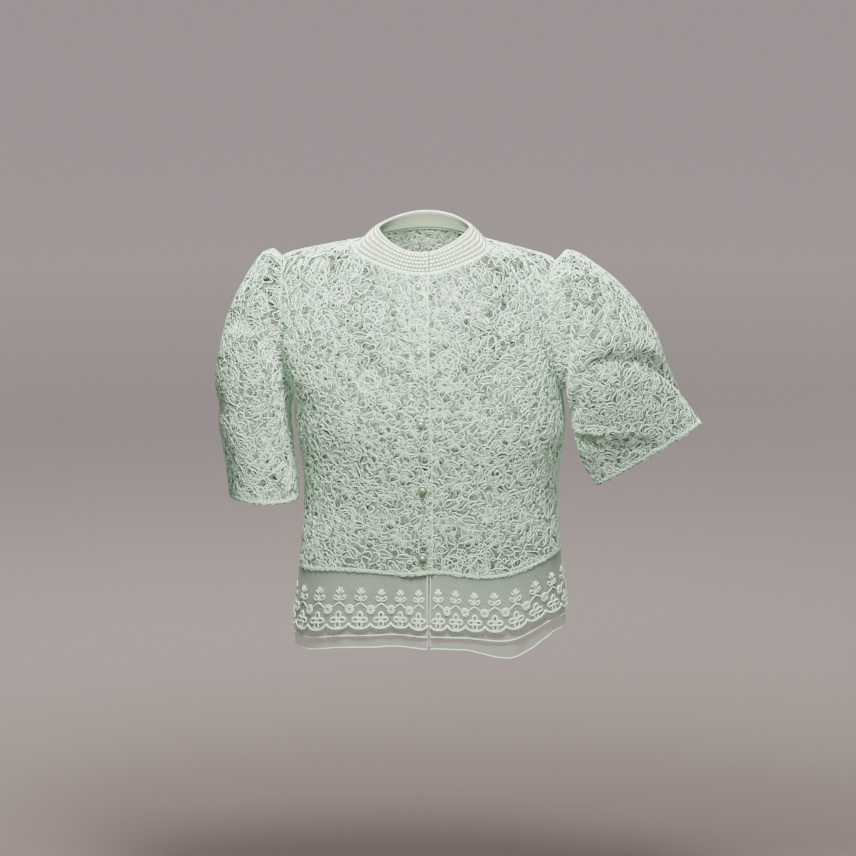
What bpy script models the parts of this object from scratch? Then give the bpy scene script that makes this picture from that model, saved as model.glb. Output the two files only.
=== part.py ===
"""A short-sleeved lace blouse in its worn shape, open at the neck, cuffs and hem.

Metres, +Z up, front faces -Y, +X is the wearer's left. The origin is the middle of
the neck opening, level with the two neck points, where the wearer's neck and
shoulders hold the blouse up.
"""
import math

import bmesh
import bpy
import numpy as np
from mathutils import Vector
from mathutils.geometry import delaunay_2d_cdt

MM = 0.001

# Cloth and seams, in millimetres
LACE_WALL = 1.6
ORGANZA_WALL = 1.0
BAND_WALL = 3.0
SEAM_GAP = 0.3

# Neckline and hem heights at the centre front, the neck points and the centre back
NECK_FRONT_DROP = 31.5
NECK_FRONT_FLAT = 0.35
NECK_BACK_RISE = 6.0
HEM_HEIGHT = -417.0
HEM_TILT = 13.5
# Swells of the bodice hem. Columns: first angle, last angle, rise halfway between them
HEM_SWELLS = [(4.0, 84.0, -15.0), (-90.0, -2.0, 8.0)]

# Front opening: the wearer's right front lies over the left one
OVER_REACH = 13.0
UNDER_REACH = 12.0
LIFT_START = 34.0
LIFT_FULL = 17.0
# Distances past the centre front where the columns near the opening run
OVER_EDGE = [-OVER_REACH, 0.0, UNDER_REACH, LIFT_FULL + 5.0, LIFT_START + 4.0]
UNDER_EDGE = [-UNDER_REACH, 0.0, OVER_REACH]

# Bodice sections. Columns: height, middle, reach to the wearer's right, to the left,
# to the front and to the back, and squareness (2 is an ellipse, more is boxier)
BODY_SECTIONS = [
    (12.0, 0.0, 70.0, 70.0, 58.0, 64.0, 2.0),
    (0.0, 0.0, 80.0, 80.0, 60.0, 70.0, 2.0),
    (-6.0, 0.0, 111.0, 106.0, 61.0, 76.0, 1.85),
    (-13.0, 0.0, 148.0, 137.0, 62.0, 81.0, 1.8),
    (-20.0, 0.0, 177.0, 162.0, 63.5, 87.0, 1.85),
    (-27.0, 0.0, 187.0, 171.0, 65.5, 92.0, 1.95),
    (-36.0, 0.0, 190.5, 174.0, 69.0, 96.0, 2.15),
    (-52.0, 0.0, 191.5, 174.5, 77.0, 101.0, 2.45),
    (-80.0, 1.0, 191.0, 173.0, 90.0, 107.0, 2.8),
    (-128.0, 3.0, 190.0, 171.0, 105.0, 109.0, 3.0),
    (-170.0, 5.0, 184.0, 170.0, 114.0, 108.0, 2.8),
    (-205.0, 7.0, 175.0, 172.0, 118.0, 106.0, 2.45),
    (-235.0, 8.0, 174.0, 174.0, 119.0, 104.0, 2.3),
    (-290.0, 9.0, 167.0, 167.0, 114.0, 95.0, 2.25),
    (-335.0, 9.0, 164.0, 164.0, 111.0, 91.0, 2.2),
    (-380.0, 9.0, 167.0, 167.0, 112.0, 96.0, 2.2),
    (-440.0, 9.0, 173.0, 173.0, 115.0, 103.0, 2.2),
    (-530.0, 9.0, 183.0, 182.0, 121.0, 110.0, 2.2),
]

# Fullness shaped by the cut. Columns: angle from the front, height, spread in degrees,
# spread in height, amount
FULLNESS = [
    (38.0, -215.0, 20.0, 48.0, 5.0),
    (150.0, -140.0, 24.0, 55.0, 4.0),
]

# Armholes. Columns by side: shoulder height, underarm height, depth to front and back
ARMHOLES = {
    "right": (-25.0, -208.0, 47.0, 58.0),
    "left": (-25.0, -193.0, 47.0, 58.0),
}
SIDE_SIGN = {"right": -1.0, "left": 1.0}

# Sleeve sections from the head to the cuff. Columns: place along the sleeve, top X and
# Z, underarm X and Z, depth to the front and the back, middle Y. X is from the centre
SLEEVE_SECTIONS = {
    "right": [
        (0.07, 198.0, -16.0, 171.5, -204.0, 54.0, 63.0, 1.0),
        (0.15, 214.0, -24.0, 174.0, -211.0, 63.0, 69.0, 1.0),
        (0.25, 238.0, -62.0, 176.0, -222.0, 75.0, 76.0, 1.0),
        (0.38, 259.0, -112.0, 176.0, -239.0, 76.0, 77.0, 0.0),
        (0.52, 271.0, -172.0, 174.0, -260.0, 73.0, 74.0, 0.0),
        (0.66, 270.0, -225.0, 171.0, -283.0, 69.0, 69.0, -2.0),
        (0.80, 262.0, -272.0, 168.0, -306.0, 64.0, 64.0, -4.0),
        (0.92, 256.0, -311.0, 166.0, -327.0, 61.0, 61.0, -5.0),
        (1.00, 254.0, -336.0, 165.0, -341.0, 60.0, 60.0, -6.0),
    ],
    "left": [
        (0.07, 184.0, -12.0, 184.0, -189.0, 55.0, 63.0, 2.0),
        (0.15, 202.0, -18.0, 187.0, -198.0, 64.0, 69.0, 4.0),
        (0.25, 232.0, -38.0, 189.0, -212.0, 73.0, 74.0, 9.0),
        (0.38, 268.0, -72.0, 191.0, -228.0, 72.0, 72.0, 12.0),
        (0.52, 298.0, -115.0, 193.0, -246.0, 66.0, 66.0, 15.0),
        (0.66, 314.0, -163.0, 197.0, -265.0, 56.0, 56.0, 18.0),
        (0.80, 333.0, -201.0, 204.0, -287.0, 43.0, 43.0, 20.0),
        (0.92, 350.0, -226.0, 215.0, -308.0, 32.0, 32.0, 22.0),
        (1.00, 359.0, -238.0, 225.0, -322.0, 26.0, 26.0, 22.0),
    ],
}
HEAD_SEAM_GAP = 0.5
HEAD_BOW = 9.0
HEAD_PLEATS = 12
HEAD_PLEAT_DEPTH = 2.6

# Folds pressed into the sleeves. Columns: degrees round from the top towards the front,
# place along the sleeve, spread in degrees, spread along, slant in degrees for the whole
# length, depth (below 0 stands out)
SLEEVE_FOLDS = {
    "right": [
        (62.0, 0.25, 36.0, 0.045, -195.0, 10.0),
        (58.0, 0.15, 32.0, 0.050, -195.0, -4.0),
        (108.0, 0.22, 11.0, 0.120, 0.0, 4.5),
        (20.0, 0.63, 46.0, 0.050, -80.0, 4.5),
        (130.0, 0.60, 30.0, 0.060, 80.0, 4.0),
        (-60.0, 0.40, 40.0, 0.050, -60.0, 7.0),
        (-120.0, 0.58, 34.0, 0.055, -80.0, 5.0),
    ],
    "left": [
        (50.0, 0.545, 46.0, 0.036, -280.0, 9.0),
        (50.0, 0.455, 44.0, 0.050, -280.0, -4.0),
        (115.0, 0.69, 34.0, 0.035, -260.0, -3.5),
        (120.0, 0.77, 32.0, 0.045, -260.0, 5.0),
        (44.0, 0.18, 12.0, 0.035, -480.0, 4.0),
        (146.0, 0.36, 26.0, 0.090, 90.0, 5.0),
        (-70.0, 0.52, 55.0, 0.045, -40.0, 7.0),
        (-130.0, 0.36, 30.0, 0.080, -90.0, 5.0),
    ],
}

# Neckband
BAND_TOP_WIDTH = 61.0
BAND_TOP_FRONT = 58.0
BAND_TOP_BACK = 61.0
BAND_TOP_HEIGHT = 18.0
BAND_TOP_FRONT_DROP = 25.5
BAND_TOP_BACK_RISE = 11.0
BAND_BOW = 1.2
BAND_PIPING = 0.9
BAND_END_GAP = 0.4
BAND_SEAM_GAP = 0.8

# Peplum. Columns by layer: length at the front, wall, how far inside the bodice's
# outer face it starts, how much further in it lies at the hem
PEPLUM_LAYERS = {
    "middle": (80.0, ORGANZA_WALL, 1.8, 1.0),
    "lower": (96.0, ORGANZA_WALL, 3.6, 2.0),
}
PEPLUM_TOP_LENGTH = 71.0
PEPLUM_SPLIT = 2.4
PEPLUM_LONGER_RIGHT = 7.0
PEPLUM_DROP = 0.4
# Where the lower layers hang longer at the left front: first angle, last angle, and how
# much more for each millimetre that a layer is longer than the top one
PEPLUM_LONGER_LEFT = (22.0, 84.0, 0.48)
# Waves round the peplum. Columns: waves in the whole round, phase in degrees, height
PEPLUM_WAVES = [(5.0, 20.0, 1.6), (8.0, 75.0, 1.7), (13.0, 140.0, 1.1)]

# Scalloped cutwork edge of the top layer
SCALLOPS = {"front_right": 8, "back": 17, "front_left": 8}
PLAIN_LENGTH = 40.0
SCALLOP_DEPTH = 6.5
SCALLOP_STEPS = 5
EYELET_LENGTH = 5.6
EYELET_WIDTH = 3.8
EYELET_SIDES = 6
# Eyelets of one scallop. Columns: across from its middle, up from its lowest point, turn
EYELETS = [(0.0, 6.5, 90.0), (-5.6, 12.4, 0.0), (5.6, 12.4, 0.0), (0.0, 18.3, 90.0)]

# Buttons: heights on the centre front, and the turned profile of radius and height
BUTTON_HEIGHTS = [-49.0, -129.0, -218.0, -305.0, -395.0]
BUTTON_PROFILE = [
    (0.0, 0.0), (6.1, 0.0), (6.6, 0.8), (4.8, 1.7), (4.5, 3.2), (3.4, 4.9), (0.0, 6.1),
]
BUTTON_SIDES = 12

# Rows and columns of the modelled cloth
YOKE_ROWS = 2
ARMHOLE_STEP = 15.0
SIDE_ROWS = 7
OVER_COLUMNS = 9
UNDER_COLUMNS = 10
BACK_COLUMNS = 20
SLEEVE_RINGS = 13
SLEEVE_AROUND = 48

COLOURS = {
    "lace": (0.80, 0.83, 0.76, 1.0),
    "organza": (0.70, 0.76, 0.68, 1.0),
    "beads": (0.86, 0.84, 0.70, 1.0),
    "pearl": (0.88, 0.86, 0.76, 1.0),
}


def clear_scene():
    """Remove whatever the scene holds."""
    for item in list(bpy.data.objects):
        bpy.data.objects.remove(item, do_unlink=True)


def smoothstep(low, high, value):
    """Rise smoothly from 0 at low to 1 at high."""
    share = min(max((value - low) / (high - low), 0.0), 1.0)
    return share * share * (3.0 - 2.0 * share)


def read_table(table, position):
    """Read a table at any position along its first column, with smooth joins."""
    rows = np.array(sorted(table), dtype=float)
    places = rows[:, 0]
    values = rows[:, 1:]
    slopes = np.gradient(values, places, axis=0)
    position = min(max(position, places[0]), places[-1])
    low = min(max(int(np.searchsorted(places, position)) - 1, 0), len(places) - 2)
    span = places[low + 1] - places[low]
    t = (position - places[low]) / span
    start = (2 * t**3 - 3 * t**2 + 1) * values[low] + (t**3 - 2 * t**2 + t) * span * slopes[low]
    end = (3 * t**2 - 2 * t**3) * values[low + 1] + (t**3 - t**2) * span * slopes[low + 1]
    return start + end


def wrap_degrees(angle):
    """Bring an angle between -180 and 180 degrees."""
    return (angle + 180.0) % 360.0 - 180.0


def body_point(angle, height):
    """Give the bodice surface at degrees from the front towards +X, and a height."""
    middle, right, left, front, back, square = read_table(BODY_SECTIONS, height)
    across = math.sin(math.radians(angle))
    ahead = math.cos(math.radians(angle))
    side = left if across > 0 else right
    depth = front if ahead > 0 else back
    reach = (abs(across / side) ** square + abs(ahead / depth) ** square) ** (-1.0 / square)
    for turn, level, spread, tall, amount in FULLNESS:
        away = (abs(wrap_degrees(angle)) - turn) / spread
        reach += amount * math.exp(-away * away - ((height - level) / tall) ** 2)
    return Vector((middle + reach * across, -reach * ahead, height))


def body_normal(angle, height):
    """Give the outward direction of the bodice surface."""
    around = body_point(angle + 0.5, height) - body_point(angle - 0.5, height)
    up = body_point(angle, height + 1.0) - body_point(angle, height - 1.0)
    return around.cross(up).normalized()


def armhole_angle(side, turn):
    """Give body angle and height on an armhole, by degrees from the top to the front."""
    top, bottom, front, back = ARMHOLES[side]
    height = (top + bottom) / 2 + (top - bottom) / 2 * math.cos(math.radians(turn))
    depth_part = math.sin(math.radians(turn))
    depth = depth_part * (front if depth_part > 0 else back)
    _, right, left, body_front, body_back, square = read_table(BODY_SECTIONS, height)
    reach = left if side == "left" else right
    limit = body_front if depth > 0 else body_back
    across = reach * (1.0 - min(abs(depth) / limit, 1.0) ** square) ** (1.0 / square)
    angle = math.degrees(math.atan2(across, depth))
    return SIDE_SIGN[side] * angle, height


def side_rows(side, facing):
    """List body angle, height and share of the way down along one side of a panel."""
    top, bottom, _, _ = ARMHOLES[side]
    sign = SIDE_SIGN[side]
    hem = HEM_HEIGHT + sign * HEM_TILT
    rows = []
    for step in range(YOKE_ROWS):
        rows.append((sign * 90.0, top * step / YOKE_ROWS))
    steps = round(180.0 / ARMHOLE_STEP)
    for step in range(steps + 1):
        angle, height = armhole_angle(side, facing * ARMHOLE_STEP * step)
        rows.append((angle, height))
    for step in range(1, SIDE_ROWS + 1):
        rows.append((sign * 90.0, bottom + (hem - bottom) * step / SIDE_ROWS))
    return [(angle, height, height / hem) for angle, height in rows]


def neck_height(angle):
    """Give the height of the neckline round the neck."""
    ahead = math.cos(math.radians(angle))
    if ahead > 0:
        return -NECK_FRONT_DROP * ahead**2 * (1.0 + NECK_FRONT_FLAT * (1.0 - ahead**2))
    return NECK_BACK_RISE * ahead * ahead


def swell(angle, first, last):
    """Give 1 halfway between two angles, falling smoothly to 0 at both and beyond."""
    share = (wrap_degrees(angle) - first) / (last - first)
    if not 0.0 < share < 1.0:
        return 0.0
    return math.sin(math.pi * share) ** 2


def hem_height(angle):
    """Give the height of the bodice hem, which is tilted and dips at the left front."""
    height = HEM_HEIGHT + HEM_TILT * math.sin(math.radians(angle))
    for first, last, rise in HEM_SWELLS:
        height += rise * swell(angle, first, last)
    return height


def row_height(angle, swing, side_height, share, side_hem):
    """Bend a level row so that it follows the neckline above and the hem below.

    Swing is the angle as it would be on a row that reaches the shoulder, so that a
    row keeps its side height where the armhole ends it.
    """
    top = neck_height(swing) * (1.0 - smoothstep(0.0, 0.45, share))
    bottom = (hem_height(angle) - side_hem) * share * share
    return side_height + top + bottom


def opening_angle(height, across):
    """Give the angle of a line that runs down beside the centre front."""
    depth = read_table(BODY_SECTIONS, height)[3]
    return math.degrees(math.atan2(across, depth))


def front_lift(angle, height):
    """Give how far the over front is raised where it lies on the under one."""
    depth = read_table(BODY_SECTIONS, height)[3]
    across = depth * math.tan(math.radians(angle))
    return (LACE_WALL + SEAM_GAP + 0.1) * smoothstep(-LIFT_START, -LIFT_FULL, across)


def add_object(name, points, faces, colour, roughness):
    """Make one named object of its own material from points in millimetres."""
    mesh = bpy.data.meshes.new(name)
    mesh.from_pydata([tuple(Vector(point) * MM) for point in points], [], faces)
    shape = bmesh.new()
    shape.from_mesh(mesh)
    bmesh.ops.recalc_face_normals(shape, faces=shape.faces)
    bmesh.ops.triangulate(shape, faces=shape.faces)
    shape.to_mesh(mesh)
    shape.free()
    material = bpy.data.materials.new(name)
    material.use_nodes = True
    shader = material.node_tree.nodes["Principled BSDF"]
    shader.inputs["Base Color"].default_value = COLOURS[colour]
    shader.inputs["Roughness"].default_value = roughness
    shader.inputs["Metallic"].default_value = 0.0
    mesh.materials.append(material)
    mesh.shade_smooth()
    item = bpy.data.objects.new(name, mesh)
    bpy.context.collection.objects.link(item)
    return item


def cloth_wall(name, outer, inner, closed, colour, roughness=0.85):
    """Make a closed wall between two grids of points, rows first, and cap its edges."""
    rows = len(outer)
    columns = len(outer[0])
    points = [point for row in outer for point in row] + [point for row in inner for point in row]
    inside = rows * columns
    faces = []
    last = columns if closed else columns - 1
    for row in range(rows - 1):
        for column in range(last):
            beside = (column + 1) % columns
            corners = [
                row * columns + column, (row + 1) * columns + column,
                (row + 1) * columns + beside, row * columns + beside,
            ]
            faces.append(corners)
            faces.append([inside + corner for corner in reversed(corners)])
    for column in range(last):
        beside = (column + 1) % columns
        faces.append([beside, inside + beside, inside + column, column])
        low = (rows - 1) * columns
        faces.append([low + column, inside + low + column, inside + low + beside, low + beside])
    if not closed:
        for row in range(rows - 1):
            here = row * columns
            below = here + columns
            faces.append([here, inside + here, inside + below, below])
            end = here + columns - 1
            end_below = end + columns
            faces.append([end_below, inside + end_below, inside + end, end])
    return add_object(name, points, faces, colour, roughness)


def seam_shift(first_edge, last_edge, column, columns):
    """Give the pull along a row that leaves half a seam gap at an edge with a seam."""
    if column == 0:
        return first_edge * SEAM_GAP / 2
    if column == columns:
        return -last_edge * SEAM_GAP / 2
    return 0.0


def panel(name, rows, lift=None, seams=(1.0, 1.0)):
    """Make a bodice panel from rows of angle and height, parted from its neighbours."""
    outer = []
    inner = []
    last_row = len(rows) - 1
    for number, row in enumerate(rows):
        outer_row = []
        inner_row = []
        for column, (angle, height) in enumerate(row):
            normal = body_normal(angle, height)
            point = body_point(angle, height)
            along = (body_point(angle + 0.5, height) - point).normalized()
            point = point + along * seam_shift(seams[0], seams[1], column, len(row) - 1)
            raised = lift(angle, height) if lift else 0.0
            outside = point + normal * raised
            inside = point + normal * (raised - LACE_WALL)
            if number == 0:
                outside.z -= SEAM_GAP / 2
                inside.z -= SEAM_GAP / 2
            if number == last_row:
                outside.z = height + SEAM_GAP / 2
                inside.z = outside.z
            outer_row.append(outside)
            inner_row.append(inside)
        outer.append(outer_row)
        inner.append(inner_row)
    cloth_wall(name, outer, inner, False, "lace")


def front_rows(side, near_edge, columns):
    """Give rows of angle and height from the opening edge to a side of the bodice."""
    rows = []
    sign = SIDE_SIGN[side]
    side_hem = HEM_HEIGHT + sign * HEM_TILT
    for side_angle, side_height, share in side_rows(side, 1.0):
        middle_height = row_height(0.0, 0.0, side_height, share, side_hem)
        angles = [sign * opening_angle(middle_height, across) for across in near_edge]
        first = angles[-1]
        for column in range(1, columns + 1):
            angles.append(first + (side_angle - first) * column / columns)
        row = []
        for angle in angles:
            swing = 90.0 * angle / abs(side_angle)
            row.append((angle, row_height(angle, swing, side_height, share, side_hem)))
        rows.append(row)
    return rows


def make_fronts():
    """Make the two fronts; the wearer's right one lies on top at the opening."""
    over = front_rows("right", OVER_EDGE, OVER_COLUMNS)
    under = front_rows("left", UNDER_EDGE, UNDER_COLUMNS)
    panel("front_right", over, front_lift, (0.0, -1.0))
    panel("front_left", under, None, (0.0, 1.0))


def make_back():
    """Make the back, whose two sides follow the two armholes and side seams."""
    rows = []
    for left, right in zip(side_rows("left", -1.0), side_rows("right", -1.0)):
        row = []
        for column in range(BACK_COLUMNS + 1):
            across = column / BACK_COLUMNS
            angle = left[0] + (right[0] + 360.0 - left[0]) * across
            blend = smoothstep(0.0, 1.0, across)
            side_height = left[1] * (1 - blend) + right[1] * blend
            share = left[2] * (1 - blend) + right[2] * blend
            side_hem = HEM_HEIGHT + HEM_TILT * (1 - 2 * blend)
            swing = 90.0 + 180.0 * across
            row.append((angle, row_height(angle, swing, side_height, share, side_hem)))
        rows.append(row)
    panel("back", rows)


def armhole_edge(side, turn):
    """Give an armhole edge point, its outward direction and the way into the sleeve."""
    angle, height = armhole_angle(side, turn)
    normal = body_normal(angle, height)
    before = Vector(body_point(*armhole_angle(side, turn - 2.0)))
    after = Vector(body_point(*armhole_angle(side, turn + 2.0)))
    along = (after - before).normalized()
    into = normal.cross(along) * SIDE_SIGN[side]
    return body_point(angle, height), normal, into.normalized()


def edge_on_chord(side, turn):
    """Read the armhole edge on the straight stretch between two panel rows."""
    low = math.floor(turn / ARMHOLE_STEP + 1e-6) * ARMHOLE_STEP
    share = (turn - low) / ARMHOLE_STEP
    start = armhole_edge(side, low)
    if share < 1e-6:
        return start
    end = armhole_edge(side, low + ARMHOLE_STEP)
    return tuple(a * (1 - share) + b * share for a, b in zip(start, end))


def sleeve_fold(side, turn, place):
    """Give how far a sleeve stands out of its smooth form."""
    cap = max(math.cos(math.radians(turn)), 0.0)
    head = math.exp(-(((place - 0.09) / 0.085) ** 2))
    out = HEAD_PLEAT_DEPTH * cap**0.6 * head * math.cos(math.radians(turn * HEAD_PLEATS + 180.0))
    fade = smoothstep(0.0, 0.12, place)
    for middle, level, spread, tall, slant, depth in SLEEVE_FOLDS[side]:
        away = wrap_degrees(turn - middle)
        offset = (place - level - away / 360.0 * slant / 180.0) / tall
        out -= fade * depth * math.exp(-((away / spread) ** 2) - offset * offset)
    return out


def sleeve_loop(side, turn, place):
    """Give the smooth sleeve surface beyond the first section of its table."""
    sign = SIDE_SIGN[side]
    row = read_table(SLEEVE_SECTIONS[side], place)
    top = Vector((sign * row[0], 0.0, row[1]))
    under = Vector((sign * row[2], 0.0, row[3]))
    middle = (top + under) / 2
    ahead = math.sin(math.radians(turn))
    depth = row[4] if ahead > 0 else row[5]
    bow = HEAD_BOW * math.exp(-(((place - SLEEVE_SECTIONS[side][0][0]) / 0.1) ** 2)) * ahead * ahead
    flat = middle + (top - middle) * math.cos(math.radians(turn))
    return flat + Vector((sign * bow, row[6] - depth * ahead, 0.0))


def sleeve_base(side, turn, place):
    """Give the sleeve surface without folds, from the armhole to the cuff."""
    first = SLEEVE_SECTIONS[side][0][0]
    if place >= first:
        return sleeve_loop(side, turn, place)
    edge, _, into = edge_on_chord(side, turn % 360.0)
    share = place / first
    start = edge + into * HEAD_SEAM_GAP
    return start * (1 - share) + sleeve_loop(side, turn, first) * share


def sleeve_places():
    """List the places of the sleeve's rings, closer at the gathered head."""
    first = SLEEVE_SECTIONS["right"][0][0]
    later = SLEEVE_RINGS - 1
    places = [0.0]
    for ring in range(later + 1):
        share = ring / later
        places.append(first + (1.0 - first) * share**1.15)
    return places


def grid_normal(grid, ring, column, sign):
    """Give the outward direction at a point of a closed tube's grid."""
    columns = len(grid[ring])
    around = grid[ring][(column + 1) % columns] - grid[ring][column - 1]
    along = grid[min(ring + 1, len(grid) - 1)][column] - grid[max(ring - 1, 0)][column]
    return (around.cross(along) * sign).normalized()


def make_sleeve(side):
    """Make one puff sleeve, gathered at its head, as a tube open at both ends."""
    sign = SIDE_SIGN[side]
    places = sleeve_places()
    turns = [360.0 * step / SLEEVE_AROUND for step in range(SLEEVE_AROUND)]
    smooth = [[sleeve_base(side, turn, place) for turn in turns] for place in places]
    outer = []
    inner = []
    for ring, place in enumerate(places):
        outer_row = []
        inner_row = []
        for column, turn in enumerate(turns):
            normal = grid_normal(smooth, ring, column, sign)
            out = sleeve_fold(side, turn, place) if ring else 0.0
            outer_row.append(smooth[ring][column] + normal * out)
            inner_row.append(smooth[ring][column] + normal * (out - LACE_WALL))
        outer.append(outer_row)
        inner.append(inner_row)
    cloth_wall("sleeve_" + side, outer, inner, True, "lace")


def band_point(angle, share, out=0.0):
    """Give the neckband surface from its seam (share 0) to its top edge (share 1)."""
    across = math.sin(math.radians(angle))
    ahead = math.cos(math.radians(angle))
    depth = BAND_TOP_FRONT if ahead > 0 else BAND_TOP_BACK
    change = -BAND_TOP_FRONT_DROP if ahead > 0 else BAND_TOP_BACK_RISE
    top = Vector((BAND_TOP_WIDTH * across, -depth * ahead, BAND_TOP_HEIGHT + change * ahead * ahead))
    base = body_point(angle, neck_height(angle))
    slope = top - base
    length = slope.length
    inward = Vector((slope.x, slope.y, 0.0))
    outward = Vector((0.0, 0.0, inward.length)) - inward.normalized() * slope.z
    outward.normalize()
    slope.normalize()
    bow = BAND_BOW * math.sin(math.pi * share)
    return base + slope * (BAND_SEAM_GAP + length * share) + outward * (bow + out)


def band_angles():
    """List the angles of the neckband's columns, the same as along the neckline."""
    base = body_point(0.0, neck_height(0.0))
    reach = math.degrees(math.atan2(OVER_REACH, -base.y))
    gap = math.degrees(math.atan2(BAND_END_GAP / 2, -base.y))
    under = [angle for angle, height in front_rows("left", UNDER_EDGE, UNDER_COLUMNS)[0]]
    over = [angle + 360.0 for angle, height in front_rows("right", OVER_EDGE, OVER_COLUMNS)[0]]
    angles = [reach + gap]
    angles.extend(angle for angle in under if angle > reach + 1.0)
    angles.extend(90.0 + 180.0 * column / BACK_COLUMNS for column in range(1, BACK_COLUMNS + 1))
    angles.extend(angle for angle in reversed(over) if 271.0 < angle < 359.0 + reach)
    angles.append(360.0 + reach - gap)
    return angles


def make_neckband():
    """Make the bead-covered neckband, a strip that is open at the front edge."""
    profile = [(0.0, 0.0), (0.05, BAND_PIPING), (0.12, 0.0), (0.88, 0.0), (0.95, BAND_PIPING), (1.0, 0.0)]
    angles = band_angles()
    outer = []
    inner = []
    for share, raised in reversed(profile):
        outer.append([band_point(angle, share, raised) for angle in angles])
        inner.append([band_point(angle, share, -BAND_WALL) for angle in angles])
    cloth_wall("neckband", outer, inner, False, "beads", 0.5)


def peplum_point(angle, down, inside):
    """Give the peplum surface at a length below its seam, waved towards the hem."""
    height = hem_height(angle) - PEPLUM_DROP - down
    point = body_point(angle, height)
    outward = body_normal(angle, height)
    outward.z = 0.0
    outward.normalize()
    wave = 0.0
    for count, phase, amount in PEPLUM_WAVES:
        wave += amount * math.sin(math.radians(angle * count + phase))
    return point + outward * (wave * smoothstep(0.0, 90.0, down) - inside)


def peplum_length(angle, length):
    """Give a layer's length, a little more at the right side and the left front, and waved."""
    across = math.sin(math.radians(angle))
    wave = 1.6 * math.sin(math.radians(angle * 5.0 + 30.0)) + 1.2 * math.sin(math.radians(angle * 9.0))
    first, last, more = PEPLUM_LONGER_LEFT
    wave += more * (length - PEPLUM_TOP_LENGTH) * swell(angle, first, last)
    return length + PEPLUM_LONGER_RIGHT * smoothstep(0.3, 1.0, -across) + wave


def peplum_ends():
    """Give the angles of a layer's two edges at the split in the centre front."""
    depth = read_table(BODY_SECTIONS, HEM_HEIGHT)[3]
    middle = math.degrees(math.atan2(OVER_REACH - 5.0, depth))
    half = math.degrees(math.atan2(PEPLUM_SPLIT / 2, depth))
    return middle + half, middle + 360.0 - half


def make_layer(name):
    """Make one plain organza layer, a ring that is split at the centre front."""
    length, wall, inside, further = PEPLUM_LAYERS[name]
    start, end = peplum_ends()
    angles = []
    for low, high, scallops in ((start, 90.0, "front_left"), (90.0, 270.0, "back"), (270.0, end, "front_right")):
        columns = SCALLOPS[scallops] * 2
        angles.extend(low + (high - low) * column / columns for column in range(columns))
    angles.append(end)
    outer = []
    inner = []
    for row_share in (0.0, 0.5, 1.0):
        outer_row = []
        inner_row = []
        for angle in angles:
            down = peplum_length(angle, length) * row_share
            deep = inside + further * row_share
            outer_row.append(peplum_point(angle, down, deep))
            inner_row.append(peplum_point(angle, down, deep + wall))
        outer.append(outer_row)
        inner.append(inner_row)
    cloth_wall("peplum_" + name, outer, inner, False, "organza", 0.6)


def scallop_drop(across):
    """Give how far above its lowest point a scalloped edge lies, across from 0 to 1."""
    share = abs(across * 2.0 - 1.0)
    return SCALLOP_DEPTH * (1.0 - math.sqrt(max(1.0 - 0.96 * share * share, 0.0))) / 0.8


def cut_strip(scallops, pitch):
    """Triangulate one flat scalloped strip with its eyelets left out."""
    width = scallops * pitch
    points = []
    edges = []

    def add_line(line, closed):
        first = len(points)
        points.extend(line)
        for step in range(len(line) - (0 if closed else 1)):
            edges.append((first + step, first + (step + 1) % len(line)))
        return first

    border = [(0.0, 0.0)]
    for scallop in range(scallops):
        for step in range(1, 3):
            border.append(((scallop + step / 2.0) * pitch, 0.0))
    for scallop in reversed(range(scallops)):
        for step in reversed(range(SCALLOP_STEPS + 1)):
            if step == SCALLOP_STEPS and scallop < scallops - 1:
                continue
            share = step / SCALLOP_STEPS
            border.append(((scallop + share) * pitch, PEPLUM_TOP_LENGTH - scallop_drop(share)))
    border.append((0.0, PLAIN_LENGTH))
    border.insert(1 + scallops * 2, (width, PLAIN_LENGTH))
    add_line(border, True)
    for half in range(1, scallops * 2):
        points.append((half / 2.0 * pitch, PLAIN_LENGTH))
    holes = []
    for scallop in range(scallops):
        for across, up, turn in EYELETS:
            middle = ((scallop + 0.5) * pitch + across, PEPLUM_TOP_LENGTH - up)
            line = []
            for corner in range(EYELET_SIDES):
                angle = 2.0 * math.pi * corner / EYELET_SIDES
                long_way = math.cos(angle) * EYELET_LENGTH / 2
                short_way = math.sin(angle) * EYELET_WIDTH / 2
                tilt = math.radians(turn)
                line.append((
                    middle[0] + long_way * math.cos(tilt) - short_way * math.sin(tilt),
                    middle[1] + long_way * math.sin(tilt) + short_way * math.cos(tilt),
                ))
            add_line(line, True)
            holes.append(middle)
    result = delaunay_2d_cdt([Vector(point) for point in points], edges, [], 1, 1e-5)
    flat = [tuple(point) for point in result[0]]
    triangles = []
    for face in result[2]:
        centre = np.mean([flat[corner] for corner in face], axis=0)
        near = [math.hypot(centre[0] - hole[0], centre[1] - hole[1]) < EYELET_WIDTH / 2 for hole in holes]
        share = centre[0] / pitch % 1.0
        outside = centre[1] > PEPLUM_TOP_LENGTH - scallop_drop(share) * 0.98
        if any(near) or outside:
            continue
        triangles.append(list(face))
    return flat, triangles, width


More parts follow.
